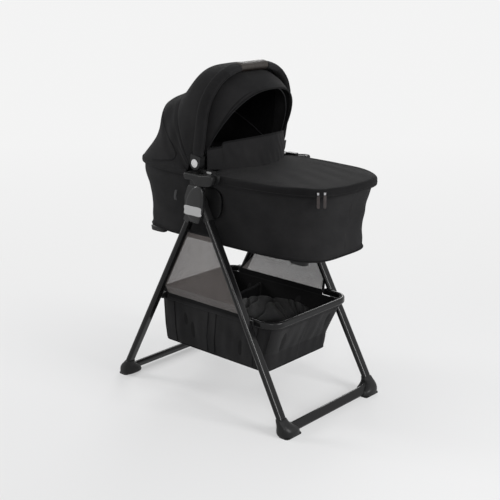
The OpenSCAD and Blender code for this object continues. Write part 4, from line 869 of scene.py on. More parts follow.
# Surface of the canopy. Row i runs from the handle (0) to the rim (14) and its hem (15); share runs from
# one side over the top to the other. Each row is half a superellipse between its base and its crown point.
def canopyPoints(rows, share, inset=0.0):
    i = np.asarray(rows, float)
    crown = smoothThrough(crownKeys, np.minimum(i, 14) / 2)
    hem = np.clip(i - 14, 0, 1)[:, None]
    crown = crown * (1 - hem) + np.array([[rimBack, rimZ - 0.006]]) * hem
    spread = np.minimum(1, i / 9.6)
    baseX = canopyFoot - 0.009 * spread
    baseZ = (hingeZ + 0.004) * (1 - spread) + (rimZ + 0.003) * spread
    baseZ = np.where(i > 14, rimZ + 0.003 - 0.009 * hem[:, 0], baseZ)
    out = crown - np.stack([baseX, baseZ], axis=1)
    out = out * (1 - inset / np.linalg.norm(out, axis=1, keepdims=True))
    slim = 0.011 * np.exp(-((i - 8.6) / 2.6) ** 2)
    half = (archHalf - 0.0025) * (1 - spread) + rimWide * spread - inset - slim
    # Power of each row: fuller at the handle, then easing down towards the hem
    n = (3 + 0.75 * np.exp(-(i / 1.3) ** 2) - 0.5 * np.minimum(i, 15) / 16)[:, None]
    p, q = superUnit(rad(89 * share)[None], n)
    rp, rq = rimUnit(share)
    along = np.clip((i - 10) / 4, 0, 1)[:, None]
    along = along * along * (3 - 2 * along)
    p = p * (1 - along) + rp[None] * along
    q = q * (1 - along) + rq[None] * along
    x, y = baseX[:, None] + out[:, :1] * p, half[:, None] * q
    tuck = tub["headTuck"] * eased(i, 8, 14)[:, None] * headShare(np.arctan2(y / rimWide, (x - tubX) / rimLong))
    x = tubX + (x - tubX) * (1 - tuck / rimLong)
    return np.stack([x, y * (1 - tuck / rimWide), baseZ[:, None] + out[:, 1:] * p], axis=2)

def canopyRelief(points, rows, share):
    i, s = np.asarray(rows, float)[:, None], share[None]
    side = eased(np.abs(s), 0.25, 0.75)
    # Draped cloth between the stays: sags between them, and folds that run down the sides
    folds = np.sin(i * 3.2 + 2.2 * np.sin(s * 3)) * side * bell(i, 6.2, 3.4)
    long = ripples(i / 14 * 1.6, s * 1.3, 5, fine=1.3)
    pull = np.sin(s * 17 + i * 0.9) * bell(i, 12.2, 1.6) * 0.8
    crease = -bell(i, 4.15, 0.3) * (0.9 + 0.3 * np.sin(s * 5))
    ridge = bell(i, 8.0, 0.28) * (1 - 0.5 * side)
    height = 0.0007 * folds + 0.0022 * long * bell(i, 7, 6) + 0.0005 * pull + 0.0022 * crease + 0.0016 * ridge
    height = height * np.clip(i / 1.2, 0, 1) * np.clip((14.2 - i) / 1.5, 0, 1)
    return points + height[..., None] * gridNormals(points)

def makeCanopy():
    rows = np.concatenate([np.linspace(0, 14, 120), [14.3, 14.65, 15.0]])
    share = np.linspace(-1, 1, 230)
    points = canopyRelief(canopyPoints(rows, share), rows, share)
    return gridPiece("canopy_cloth", points, finishes["charcoalCloth"], flip=True, wall=0.0016), rows, share, points

canopy, canopyRows, canopyShare, canopyGrid = makeCanopy()
asSheet(canopy, canopyGrid)
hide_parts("canopy")

# Line over the canopy's surface between two (row, share) places or through several, lifted off the cloth
def overCanopy(places, count, lift=0.0006):
    places = np.asarray(places, float)
    if len(places) > 2:
        line = smoothThrough(places, np.linspace(0, len(places) - 1, count))
    else:
        line = places[0] + np.linspace(0, 1, count)[:, None] * (places[1] - places[0])
    r = np.interp(line[:, 0], canopyRows, np.arange(len(canopyRows)))
    c = (line[:, 1] + 1) / 2 * (len(canopyShare) - 1)
    r0, c0 = np.clip(r.astype(int), 0, len(canopyRows) - 2), np.clip(c.astype(int), 0, len(canopyShare) - 2)
    fr, fc = (r - r0)[:, None], (c - c0)[:, None]

    # Value of a grid between its four nearest points
    def spot(grid):
        upper = grid[r0, c0] * (1 - fc) + grid[r0, c0 + 1] * fc
        lower = grid[r0 + 1, c0] * (1 - fc) + grid[r0 + 1, c0 + 1] * fc
        return upper * (1 - fr) + lower * fr

    normal = spot(gridNormals(canopyGrid))
    normal /= np.linalg.norm(normal, axis=1, keepdims=True)
    return spot(canopyGrid) + lift * normal, normal

canopyExtras = []
for sign in (-1, 1):
    # Vent flap on each side: its edge runs down the canopy to a pointed corner, and back along the rim, as a dark
    # raised tape that is partly the flap's edge and partly painted shadow along it
    upper = [(7.7, 0.44), (8.05, 0.56), (8.2, 0.68), (8.1, 0.78), (8.6, 0.842)]
    lower = [(8.6, 0.842), (10.2, 0.842), (11.8, 0.822), (12.9, 0.76), (13.4, 0.68)]
    for places in (upper, lower):
        line, normal = overCanopy([(r, sign * t) for r, t in places], 110, 0.0008)
        canopyExtras.append(carried("canopy_vent_shadow_edge", line, ovalOutline(0.0034, 0.0072, count=12),
                                    finishes["bindingTape"], side=normal))
for row in (4.15, 8.0):
    for shift in (-0.10, 0.10):
        line, normal = overCanopy([(row + shift, -0.97), (row + shift, 0.97)], 500, 0.0004)
        canopyExtras.append(stitches("canopy_stitching", line, finishes["thread"]))
hemLine, normal = overCanopy([(0.25, -0.98), (0.25, 0.98)], 500, 0.0004)
canopyExtras.append(stitches("canopy_stitching", hemLine, finishes["thread"]))
canopySeams = asOne("canopy_seams_and_vent_shadow", canopyExtras)

def makeHoodLining():
    rows = np.linspace(0.15, 13.2, 110)
    share = np.linspace(-0.985, 0.985, 200)
    points = canopyPoints(rows, share, 0.009)
    normal = gridNormals(points)
    # Pleats gathered over the stays
    pleats = np.sin(share[None] * 88 + 2.0 * np.sin(rows[:, None] * 0.8)) * bell(rows[:, None], 6, 6)
    points = points - (0.0012 * pleats + 0.001 * ripples(rows[:, None] / 7, share[None], 12))[..., None] * normal
    lining = gridPiece("canopy_inner_lining", points, finishes["hoodLining"], flip=True)
    asSheet(lining, points)
    return lining

hoodLining = makeHoodLining()
for piece, slotName in ((canopy, "fabric_black"), (canopySeams, "fabric_black"), (hoodLining, "fabric_lining")):
    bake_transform(piece)

# Hem band that joins the canopy to the tub's rim, from one adapter round the head end to the other
def rimBand():
    share = np.linspace(-1, 1, 260)
    p, q = rimUnit(share)
    base = canopyFoot - 0.009
    x, y = base + (rimBack - 0.0008 - base) * p, (rimWide + 0.0008) * q
    tuck = tub["headTuck"] * headShare(np.arctan2(y / rimWide, (x - tubX) / rimLong))
    return np.stack([tubX + (x - tubX) * (1 - tuck / rimLong), y * (1 - tuck / rimWide),
                     np.full(260, rimZ - 0.0015)], axis=1)

bandPath = rimBand()
hemBand = carried("canopy_hem_band", bandPath, ovalOutline(0.0150, 0.0026, n=3, count=20),
                  finishes["charcoalCloth"])
hemStitch = stitches("canopy_hem_stitching",
        np.stack([tubX + (bandPath[:, 0] - tubX) * 1.0035, bandPath[:, 1] * 1.007, bandPath[:, 2] - 0.002],
                 axis=1)[6:-6], finishes["thread"])
for piece in (hemBand, hemStitch):
    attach(piece, "bassinet")
print("canopy made")

# Sun visor inside the handle
visor = {"backAngle": 82, "frontAngle": 58, "backReach": 0.274, "frontReach": 0.265,
         "half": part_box("visor")[1][1], "startTurn": 80}

# Surface of the visor: rows from the handle to the front edge, each a superellipse fixed on the hinge pins
def visorPoints(k, share, inset=0.0):
    k = np.asarray(k, float)
    angle = rad(visor["backAngle"] + k * (visor["frontAngle"] - visor["backAngle"]))
    reach = visor["backReach"] + k * (visor["frontReach"] - visor["backReach"]) - inset
    n = (3.4 - 1.0 * k)[:, None]
    p, q = superUnit(rad(visor["startTurn"] * share)[None], n)
    out = reach[:, None] * p
    return np.stack([hingeX + out * np.cos(angle)[:, None], (visor["half"] - inset) * q,
                     hingeZ + out * np.sin(angle)[:, None]], axis=2)

def makeVisor():
    k, share = np.linspace(0, 1, 60), np.linspace(-1, 1, 200)
    points = visorPoints(k, share)
    cloth = gridPiece("visor_cloth", points, finishes["charcoalCloth"], flip=True, wall=0.0018)
    asSheet(cloth, points)
    edge = carried("visor_binding", visorPoints([1.0], share, 0.0)[0] + np.array([0.0004, 0, 0]),
                   roundOutline(0.0031, 12), finishes["bindingTape"])
    seam = stitches("visor_stitching", visorPoints([0.93], np.linspace(-0.99, 0.99, 500), -0.0005)[0],
                    finishes["thread"])
    inner = visorPoints([0.80], share, 0.0022)[0]
    band = carried("visor_inner_band", inner, ovalOutline(0.0012, 0.02, n=3, count=14), finishes["bindingTape"],
                   side=(math.cos(rad(63)), 0, math.sin(rad(63))))
    return cloth, edge, seam, band

# Cloth that runs on under the handle, from the canopy's front edge in to the visor's rear edge
def makeUnderHandle():
    share = np.linspace(-1, 1, 200)
    front = canopyPoints([0.15], share)[0]
    rear = visorPoints([0.02], share)[0]
    lift = np.linspace(0, 1, 14)[:, None, None]
    hollow = np.sin(lift * np.pi) * 0.004 * np.array([-1.0, 0, 0])
    mid = np.concatenate([front[:, :1], rear[:, 1:]], axis=1)
    points = front * (1 - lift) ** 2 + 2 * mid * lift * (1 - lift) + rear * lift ** 2 + hollow
    under = gridPiece("canopy_under_handle", points, finishes["charcoalCloth"], flip=True)
    asSheet(under, points)
    return under

underHandle = makeUnderHandle()
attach(underHandle, "hood")

visorPieces = makeVisor()
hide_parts("visor")
for piece in visorPieces:
    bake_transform(piece)
print("visor made")

# Basket between the legs
basket = {"folds": 0.0030, "around": 420}  # depth of the cloth relief; columns round the walls
basketLow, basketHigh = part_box("basket")
basketZ, basketTop = basketLow[2], basketHigh[2]
basketMidTop = (basketLow[0] + basketHigh[0]) / 2
basketHalfTop = basketHigh[1]
basketLongTop = (basketHigh[0] - basketLow[0]) / 2

# Rounded rectangle by angle: straight sides joined by quarter circles, as (x, y) offsets with the perimeter
# shared evenly
def roundBox(count, halfLong, halfWide, corner):
    a, b = halfLong - corner, halfWide - corner
    arc = np.pi * corner / 2
    total = 4 * (a + b) + 4 * arc
    at = (np.arange(count) + 0.5) / count * total
    steps = np.cumsum([0, b, arc, 2 * a, arc, 2 * b, arc, 2 * a, arc, b])
    x, y = np.zeros(count), np.zeros(count)
    sides = [(halfLong, 0, 0, 1), None, (a, halfWide, -1, 0), None, (-halfLong, b, 0, -1), None,
             (-a, -halfWide, 1, 0), None, (halfLong, -b, 0, 1)]
    centres = {1: (a, b, 0), 3: (-a, b, np.pi / 2), 5: (-a, -b, np.pi), 7: (a, -b, 1.5 * np.pi)}
    for k in range(9):
        here = (at >= steps[k]) & (at < steps[k + 1] + (1 if k == 8 else 0))
        run = at[here] - steps[k]
        if k in centres:
            cx, cy, start = centres[k]
            turn = start + run / corner
            x[here], y[here] = cx + corner * np.cos(turn), cy + corner * np.sin(turn)
        else:
            px, py, dx, dy = sides[k]
            x[here], y[here] = px + dx * run, py + dy * run
    return x, y

# Size and place of the basket at a share k of its height: middle x, half length, half width, corner
def basketLevel(k, inset):
    keys = np.array([
        [0.0, hubX - 0.004, 0.2275, 0.151, 0.024],
        [0.047, hubX - 0.004, 0.2315, 0.155, 0.024],
        [0.35, hubX - 0.001, 0.2375, 0.161, 0.028],
        [0.90, basketMidTop, basketLongTop - 0.0025, basketHalfTop - 0.0015, 0.040],
        [1.0, basketMidTop, basketLongTop, basketHalfTop, 0.034],
    ])
    values = [np.interp(k, keys[:, 0], keys[:, j]) for j in range(1, 5)]
    return values[0], values[1] - inset, values[2] - inset, max(0.008, values[3] - inset)

# Rows are given as share of height, inset, and height; columns go round once
def basketRows(levels, count):
    rows = []
    for k, inset, z in levels:
        mid, halfLong, halfWide, corner = basketLevel(k, inset)
        x, y = roundBox(count, halfLong, halfWide, corner)
        rows.append(np.stack([mid + x, y, np.full(count, z)], axis=1))
    return np.stack(rows)

basketTall = basketTop - basketZ

# Cloth folds of the basket's walls: creases fanning up from the floor's corners, and a gentle belly between seams
def basketRelief(points, count, seed, depth):
    u = np.arange(count)[None] / count
    v = np.linspace(0, 1, points.shape[0])[:, None]
    upright = (np.sin(2 * np.pi * u * 14 + 0.6 * np.sin(2 * np.pi * u * 5)) + 0.5
               * np.sin(2 * np.pi * u * 37 + 1)) * (0.6 + 0.4 * np.sin(v * 3))
    slow = ripples(u * 6, v * 0.35, seed, fine=1.0)
    return points + (depth * (0.45 * upright + 0.8 * slow) * np.sin(v * np.pi) ** 0.7)[...,
            None] * gridNormals(points, loopCols=True)

def blendedOnFold(piece):
    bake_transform(piece)

def makeBasket():
    count = basket["around"]
    under = [(0, 0.148 * (1 - s), basketZ + 0.001 * (1 - s)) for s in (0.0, 0.3, 0.6, 0.85)]
    turn = [(0, 0.0, basketZ + 0.0004), (0.02, 0.0006, basketZ + 0.003), (0.047, 0, basketZ + 0.008)]
    wall = [(k, 0, basketZ + k * basketTall) for k in np.linspace(0.07, 0.99, 52)]
    points = basketRows(under + turn + wall, count)
    outer = basketRelief(points[4:], count, 41, basket["folds"])
    points = np.concatenate([points[:4], outer])
    cloth = gridPiece("basket_cloth", points, finishes["basketCloth"], loopCols=True)
    asSheet(cloth, points, loopCols=True)
    inside = [(k, 0.0026, basketZ + k * basketTall) for k in np.linspace(0.985, 0.06, 40)]
    foot = [(0.05, 0.006, basketZ + 0.0075), (0.05, 0.08, basketZ + 0.0072), (0.05, 0.148, basketZ + 0.0072)]
    inner = basketRows(inside + foot, count)
    inner[:40] = basketRelief(inner[:40], count, 43, 0.0011)
    # The inside walls take the darker copy of the basket cloth, painted shade
    lining = gridPiece("basket_inner", inner, finishes["basketInnerShaded"], loopCols=True)
    asSheet(lining, inner, loopCols=True)
    return cloth, lining

basketCloth, basketInnerShaded = makeBasket()
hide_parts("basket")
bandRing = basketRows([(0.965, -0.0012, basketZ + 0.965 * basketTall)], basket["around"])[0]
basketBand = carried("basket_binding", bandRing, ovalOutline(0.0125, 0.0034, n=3, count=16),
                     finishes["basketCloth"], closed=True)
footRing = basketRows([(0.03, -0.0008, basketZ + 0.0045)], basket["around"])[0]
basketPiping = carried("basket_piping", footRing, roundOutline(0.0019), finishes["bindingTape"], closed=True)
seamParts = []
# Upright seams where the side panels meet, and flat-felled stitching below the band
for place in (0.105, 0.135, 0.245, 0.262, 0.36, 0.395, 0.605, 0.64, 0.735, 0.755, 0.865, 0.895):
    column = int(place * basket["around"])
    levels = [(k, -0.0012, basketZ + k * basketTall) for k in np.linspace(0.06, 0.93, 40)]
    seam = basketRows(levels, basket["around"])[:, column]
    seamParts.append(carried("basket_seam_part", seam, ovalOutline(0.0034, 0.0034, count=8),
                             finishes["bindingTape"], side=(1, 0, 0)))
    seamParts.append(stitches("basket_seam_part", seam + np.array([0.004, 0, 0]), finishes["thread"],
                              side=(0.3, 0.9, 0.1)))
bandStitch = basketRows([(0.9, -0.0010, basketZ + 0.905 * basketTall)], basket["around"])[0]
seamParts.append(stitches("basket_seam_part", np.concatenate([bandStitch, bandStitch[:1]]), finishes["thread"]))
basketSeams = asOne("basket_seams", seamParts)
for piece in (basketCloth, basketBand, basketPiping, basketSeams):
    blendedOnFold(piece)
blendedOnFold(basketInnerShaded)
print("basket made")

# Low pocket wall across the basket, sagging a little in its middle
def basketDivider(x, top, lean, seed, name):
    s = np.linspace(-1, 1, 90)
    v = np.linspace(0, 1, 40)[:, None]
    low = basketZ + 0.012
    z = low + v * (top - low) - 0.008 * v * np.exp(-(s[None] / 0.5) ** 2)
    k = (z - basketZ) / basketTall
    half = np.interp(k, [0, 0.047, 0.35, 1], [0.151, 0.155, 0.161, basketHalfTop]) - 0.006
    points = np.stack([x + lean * v + 0.006 * np.sin(s[None] * 3 + 1) * v, half * s[None], z], axis=2)
    points = points + (0.0035 * ripples(s[None] * 0.8, v * 0.4, seed, fine=1.0))[..., None] * gridNormals(points)
    # The divider takes the same very dark cloth, partly painted shade
    wall = gridPiece(name, points, finishes["looseClothAndShade"], wall=0.0024)
    asSheet(wall, points)
    return wall, points

divider, dividerGrid = basketDivider(hubX - 0.078, basketZ + basketTall * 0.9, 0.004, 51, "basket_divider")
dividerEdge = carried("basket_divider_binding", dividerGrid[-1], ovalOutline(0.008, 0.0036, n=3, count=12),
                      finishes["bindingTape"])
for piece in (divider, dividerEdge):
    blendedOnFold(piece)

# Stiffened floor board under the lining
def makeBasketBoard():
    low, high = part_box("basket_board")
    u, v = np.linspace(-1, 1, 80)[None], np.linspace(-1, 1, 50)[:, None]
    # A square whose corners are drawn in by a superellipse of power 12
    size = np.maximum(1, (np.abs(u) ** 12 + np.abs(v) ** 12) ** (1 / 12))
    x = (low[0] + high[0]) / 2 + (high[0] - low[0]) / 2 * u / size
    y = (high[1] - low[1]) / 2 * v / size
    points = np.stack([x, y, np.full(x.shape, high[2])], axis=2)
    board = gridPiece("basket_floor_board", points, finishes["boardCloth"], wall=high[2] - low[2])
    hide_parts("basket_board")
    return board

blendedOnFold(makeBasketBoard())

# Loose bag of dark cloth lying in the toe half: a low mound, creased by folds that run over it; its colour is black
# cloth darkened further as painted shade inside the basket
bag = {"fromHub": 0.092, "halfLong": 0.150, "halfWide": 0.159, "planPower": 3.8, "tall": 0.141, "swell": 0.008,
       "wave": 0.30}

def makeLooseBag():
    count = 300
    angle = (np.arange(count) + 0.5) * 2 * np.pi / count
    rings = np.linspace(0.01, 1, 110)
    p, q = superUnit(angle, bag["planPower"])
    reach = rings[:, None]
    tuckIn = 1 - 0.10 * (reach ** 30)
    x = hubX + bag["fromHub"] + bag["halfLong"] * reach * p[None] * tuckIn
    y = bag["halfWide"] * reach * q[None] * tuckIn
    dome = (1 - rings ** 9)[:, None]
    # Creases where two slow, bent waves cross zero, over a soft swell
    acrossX, acrossY = x / bag["wave"], y / bag["wave"]
    bentX = acrossX + 0.20 * ripples(acrossY, acrossX, 71, count=3, fine=0.7)
    bentY = acrossY + 0.20 * ripples(acrossX, acrossY, 73, count=3, fine=0.7)
    first = np.abs(ripples(bentX, bentY, 62, count=3, fine=0.55))
    second = np.abs(ripples(bentX + 0.3, bentY, 68, count=3, fine=0.8))
    soft = ripples(bentX, bentY, 63, count=3, fine=0.6)
    crease = 0.009 * np.exp(-first * 5) + 0.004 * np.exp(-second * 7)
    z = basketZ + 0.012 + dome ** 0.5 * (bag["tall"] + bag["swell"] * soft - crease)
    return gridPiece("basket_loose_bag", np.stack([x, y, z], axis=2), finishes["looseClothAndShade"], loopCols=True,
                     capped=True, flip=True)

looseBag = makeLooseBag()
blendedOnFold(looseBag)
print("basket inside made")

# Net panels over the legs
legs = {"tilt": 28.4, "offset": 0.012, "splay": 0.95, "half": 0.209, "tubeThick": 0.016}
pivotZ = hubZ
lean = math.radians(legs["tilt"])

# Half width between the legs' centre lines and how far a leg stands from the hub, at a height
def legHalf(z):
    return legs["half"] + (pivotZ - z) / math.cos(lean) * math.tan(math.radians(legs["splay"]))

def legReach(z):
    return legs["offset"] * math.cos(lean) + (pivotZ + legs["offset"] * math.sin(lean) - z) * math.tan(lean)

netShape = {"foldDrop": 0.300, "footZ": 0.3235, "footShare": 0.97, "sag": 0.0025, "wave": 0.0012}
netHigh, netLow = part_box("mesh_panel_near")[1][2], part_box("mesh_panel_near")[0][2]
netFold = pivotZ - netShape["foldDrop"]

def netPoints(sign, rows, cols):
    v = np.linspace(0, 1, rows)
    z = netHigh + (netLow - netHigh) * v
    u = np.linspace(-1, 1, cols)[None]
    half = np.where(z > netFold, legHalf(z),
                    np.interp(z, [netLow, netFold], [basketHalfTop - 0.0005, legHalf(netFold)]))
    reach = legReach(z) - (legs["tubeThick"] / 2 - 0.0035) / math.cos(lean)
    sag = netShape["sag"] * (1 - u ** 2) * np.sin(v * np.pi)[:, None]
    wave = netShape["wave"] * np.sin(u * 7 + v[:, None] * 5) * np.sin(v * np.pi)[:, None]
    y = sign * (half[:, None] - sag - wave)
    return np.stack([hubX + reach[:, None] * u, y, np.broadcast_to(z[:, None], y.shape)], axis=2)

for sign, word in ((-1, "near"), (1, "far")):
    points = netPoints(sign, 60, 90)
    net = gridPiece("net_" + word, points, finishes["net" if sign < 0 else "netFar"], flip=sign > 0)
    asSheet(net, points)
    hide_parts("mesh_panel_" + word)
    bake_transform(net)
    edges = [carried("net_edge_part", points[0], ovalOutline(0.010, 0.0018, n=3, count=10),
                     finishes["bindingTape"]),
             carried("net_edge_part", points[-2], ovalOutline(0.009, 0.0018, n=3, count=10),
                     finishes["bindingTape"])]
    foot = points[-1].copy()
    foot[:, 1] = sign * (basketHalfTop + 0.0006)
    foot[:, 0] = hubX + (foot[:, 0] - hubX) * netShape["footShare"]
    foot[:, 2] = netShape["footZ"]
    edges.append(carried("net_edge_part", foot, ovalOutline(0.026, 0.0024, n=3, count=12), finishes["bindingTape"]))
    edging = asOne("net_edging_" + word, edges)
    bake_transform(edging)
    # Cloth sleeves that hold the net along each leg
    for column, body in ((0, "head_frame"), (-1, "toe_frame")):
        line = points[:, column] + np.array([0.003 if column == 0 else -0.003, 0, 0])
        strip = carried("net_sleeve_" + word + "_" + body, line, ovalOutline(0.010, 0.0022, n=3, count=12),
                        finishes["bindingTape"], side=(1, 0, 0))
        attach(strip, body)
print("net panels made")

# Zip pulls
for node in ("zip_pull_a", "zip_pull_b"):
    low, high = (np.array(corner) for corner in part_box(node))
    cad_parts[node].material_slots[0].material = finishes["pullLeather"]
    # Folded steel clip that holds the strap to its slider
    top = np.array([(low[0] + high[0]) / 2, (low[1] + high[1]) / 2, high[2] - 0.0045])
    clip = carried(node + "_clip", top + np.linspace(-0.0035, 0.0035, 9)[:, None] * np.array([0, 0, 1.0]),
                   ovalOutline(0.0098, 0.0050, n=4, count=24), finishes["plainSteel"], side=(0, 1, 0))
    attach(clip, node)
print("zip pulls dressed")

# Moulded hub covers: outer face, back and bevel, in metres from the middle
hub = {"face": 0.2425, "back": 0.2285, "bevel": 0.0085}

# Closed smooth outline through key points (x, z), evenly spaced along its length
def closedOutline(keys, count=160):
    keys = np.asarray(keys, float)
    ring = np.concatenate([keys[-1:], keys, keys[:2]])
    at = np.linspace(1, len(keys) + 1, 900, endpoint=False)
    fine = smoothThrough(ring, at)
    run = np.concatenate([[0],
                          np.cumsum(np.linalg.norm(np.diff(np.concatenate([fine, fine[:1]]), axis=0), axis=1))])
    want = np.linspace(0, run[-1], count, endpoint=False)
    closed = np.concatenate([fine, fine[:1]])
    return np.stack([np.interp(want, run, closed[:, k]) for k in (0, 1)], axis=1)

# Moulded plate: an outline in x and z carried outwards in y, drawn in along its own normals over a rounded bevel
def mouldedPlate(name, keys, back, face, bevel, finish, sign, steps=7):
    outline = closedOutline(keys)
    ahead = np.roll(outline, -1, axis=0) - np.roll(outline, 1, axis=0)
    ahead /= np.linalg.norm(ahead, axis=1, keepdims=True)
    inward = np.stack([-ahead[:, 1], ahead[:, 0]], axis=1)
    centre = outline.mean(axis=0)
    if ((centre - outline) * inward).sum() < 0:
        inward = -inward
    rows = [(back, 0.0)]
    for t in np.linspace(0, 1, steps):
        rows.append((face - bevel * 0.6 * (1 - math.sin(t * math.pi / 2)), bevel * (1 - math.cos(t * math.pi / 2))))
    points = []
    for y, inset in rows:
        ring = outline + inward * inset
        points.append(np.stack([ring[:, 0], np.full(len(ring), sign * y), ring[:, 1]], axis=1))
    last = points[-1]
    mid = last.mean(axis=0)
    for share in (0.7, 0.35, 0.05):
        dome = np.array([0, sign * 0.0008 * (1 - share), 0])
        points.append(mid + (last - mid) * share + dome)
    direction = np.cross(outline[1] - outline[0], outline[0] - centre)
    return gridPiece(name, np.stack(points), finish, loopCols=True, flip=(direction > 0) != (sign > 0), capped=True)

hubKeys = [(-0.058, 0.636), (-0.064, 0.652), (-0.0655, 0.672), (-0.0585, 0.697), (-0.045, 0.7185),
           (-0.028, 0.733), (-0.010, 0.7375),
           (0.004, 0.731), (0.0095, 0.712), (0.0085, 0.686), (0.0035, 0.655), (-0.006, 0.633), (-0.022, 0.6215),
           (-0.042, 0.622)]
innerKeys = [(-0.045, 0.632), (-0.050, 0.660), (-0.040, 0.700), (-0.018, 0.7260), (0.010, 0.7300),
             (0.033, 0.7220), (0.046, 0.7040),
             (0.0475, 0.6780), (0.042, 0.6500), (0.030, 0.6340), (0.010, 0.6260), (-0.020, 0.6240)]
saddleKeys = [(-0.072, 0.770), (-0.0725, 0.757), (-0.062, 0.7515), (-0.040, 0.752), (-0.029, 0.742),
              (-0.020, 0.734), (0.008, 0.737),
              (0.034, 0.741), (0.044, 0.747), (0.0485, 0.760), (0.0455, 0.7715), (0.030, 0.774), (-0.010, 0.770),
              (-0.050, 0.771)]
for sign, word in ((-1, "near"), (1, "far")):
    cover = mouldedPlate("hub_cover_" + word, hubKeys, hub["back"], hub["face"], hub["bevel"],
                         finishes["hubBlack"], sign)
    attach(cover, "head_frame")
    # The back plate takes the darker plastic: painted shade
    inner = mouldedPlate("hub_back_plate_" + word, innerKeys, 0.1900, 0.1985, 0.004, finishes["plasticShaded"], sign)
    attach(inner, "head_frame")
    saddle = mouldedPlate("adapter_saddle_" + word, saddleKeys, 0.2195, 0.2385, 0.004,
                          finishes["plasticBlack"], sign)
    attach(saddle, "bassinet")
    # Plain badge plate, left blank
    plateKeys = [(-0.0655, 0.6425), (-0.067, 0.656), (-0.0655, 0.6695), (-0.032, 0.6705), (0.002, 0.6695),
                 (0.0035, 0.656), (0.002, 0.6425), (-0.032, 0.6415)]
    plate = mouldedPlate("hub_badge_" + word, plateKeys, 0.2410, 0.2443, 0.0012, finishes["plateWhite"],
                         sign, steps=5)
    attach(plate, "head_frame")

# Shoe at a frame's corner: rounded rings from the sole up to the leg, wide along the bar at the bottom
shoeRows = np.array([
    # height, middle in x from the hub, half in x, outer y, inner y
    [0.0026, 0.3655, 0.0250, 0.2405, 0.1680],
    [0.0044, 0.3650, 0.0272, 0.2422, 0.1662],
    [0.0100, 0.3635, 0.0290, 0.2430, 0.1668],
    [0.0200, 0.3630, 0.0285, 0.2430, 0.1720],
    [0.0290, 0.3615, 0.0250, 0.2425, 0.1830],
    [0.0370, 0.3580, 0.0210, 0.2415, 0.1945],
    [0.0450, 0.3530, 0.0170, 0.2405, 0.2010],
    [0.0520, 0.3490, 0.0140, 0.2395, 0.2025],
    [0.0545, 0.3475, 0.0118, 0.2375, 0.2040],
])

def makeShoe(end, sign):
    count = 72
    at = np.linspace(0, len(shoeRows) - 1, 40)
    rows = smoothThrough(shoeRows, at)
    p, q = superUnit(np.arange(count) * 2 * np.pi / count, 2.7)
    x = hubX + end * (rows[:, 1:2] + rows[:, 2:3] * p[None])
    y = sign * ((rows[:, 3:4] + rows[:, 4:5]) / 2 + (rows[:, 3:4] - rows[:, 4:5]) / 2 * q[None])
    points = np.stack([x, y, np.repeat(rows[:, :1], count, axis=1)], axis=2)
    return gridPiece("shoe_part", points, finishes["plasticBlack"], loopCols=True, flip=end * sign < 0, capped=True)

for end, frameName in ((-1, "head"), (1, "toe")):
    for sign, word in ((-1, "near"), (1, "far")):
        shoe = makeShoe(end, sign)
        shoe.name = frameName + "_shoe_" + word
        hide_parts(frameName + "_foot_" + word)
        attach(shoe, frameName + "_frame")

# Arrows brought to unit length
def unitRows(arrows):
    return arrows / np.linalg.norm(arrows, axis=-1, keepdims=True)

# Painted legs: the solid's own tubes, with their coat of paint laid on outwards
def paintedLegs(node, coat):
    form = bmesh.new()
    form.from_mesh(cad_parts[node].data)
    bmesh.ops.remove_doubles(form, verts=form.verts, dist=0.00001)
    mesh = bpy.data.meshes.new(node + "_painted")
    form.to_mesh(mesh)
    form.free()
    places, corners = np.zeros(len(mesh.vertices) * 3), np.zeros(len(mesh.loops), int)
    mesh.vertices.foreach_get("co", places)
    mesh.loops.foreach_get("vertex_index", corners)
    places, corners = places.reshape(-1, 3), corners.reshape(-1, 3)
    # Outward direction at a vertex: the normals of its triangles, each weighted by the angle it fills there
    onward = unitRows(places[np.roll(corners, -1, axis=1)] - places[corners])
    back = unitRows(places[np.roll(corners, 1, axis=1)] - places[corners])
    angle = np.arccos(np.clip((onward * back).sum(axis=2), -1, 1))
    facing = unitRows(np.cross(onward[:, 0], back[:, 0]))
    outward = np.zeros_like(places)
    np.add.at(outward, corners, facing[:, None] * angle[..., None])
    mesh.vertices.foreach_set("co", (places + coat * unitRows(outward)).reshape(-1))
    mesh.update()
    mesh.polygons.foreach_set("use_smooth", [True] * len(mesh.polygons))
    mesh.set_sharp_from_angle(angle=math.radians(40))
    mesh.materials.clear()
    mesh.materials.append(finishes["frameBlack"])
    piece = bpy.data.objects.new(node + "_painted", mesh)
    bpy.context.scene.collection.objects.link(piece)
    return piece

paintCoat = 0.0019
for frameName in ("head", "toe"):
    painted = paintedLegs(frameName + "_legs", paintCoat)
    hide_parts(frameName + "_legs")
    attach(painted, frameName + "_frame")

# Four low glides under the tub, the head pair nearer the corners
def makeGlide(x, y, sign):
    count = 64
    rows = np.array([[tubLow - 0.0126, 0.0275, 0.0100], [tubLow - 0.0116, 0.0310, 0.0122],
                     [tubLow - 0.0060, 0.0325, 0.0130], [tubLow + 0.0030, 0.0335, 0.0135]])
    p, q = superUnit(np.arange(count) * 2 * np.pi / count, 3.4)
    fine = smoothThrough(rows, np.linspace(0, 3, 16))
    points = np.stack([x + fine[:, 1:2] * p[None], sign * (y + fine[:, 2:3] * q[None]),
                       np.repeat(fine[:, :1], count, axis=1)], axis=2)
    return gridPiece("glide_part", points, finishes["plasticBlack"], loopCols=True, flip=sign < 0, capped=True)

glides = asOne("tub_glide_feet",
               [makeGlide(x, y, sign) for x, y in ((-0.2920, 0.1440), (0.3040, 0.1270)) for sign in (-1, 1)])
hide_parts("tub_glides")
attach(glides, "bassinet")
print("moulded pieces made")

# View, light and floor
view = {"middle": (2.1407, -2.3767, 1.4262), "ahead": (-0.6437, 0.711, -0.283), "roll": -0.00194, "lens": 72.7}

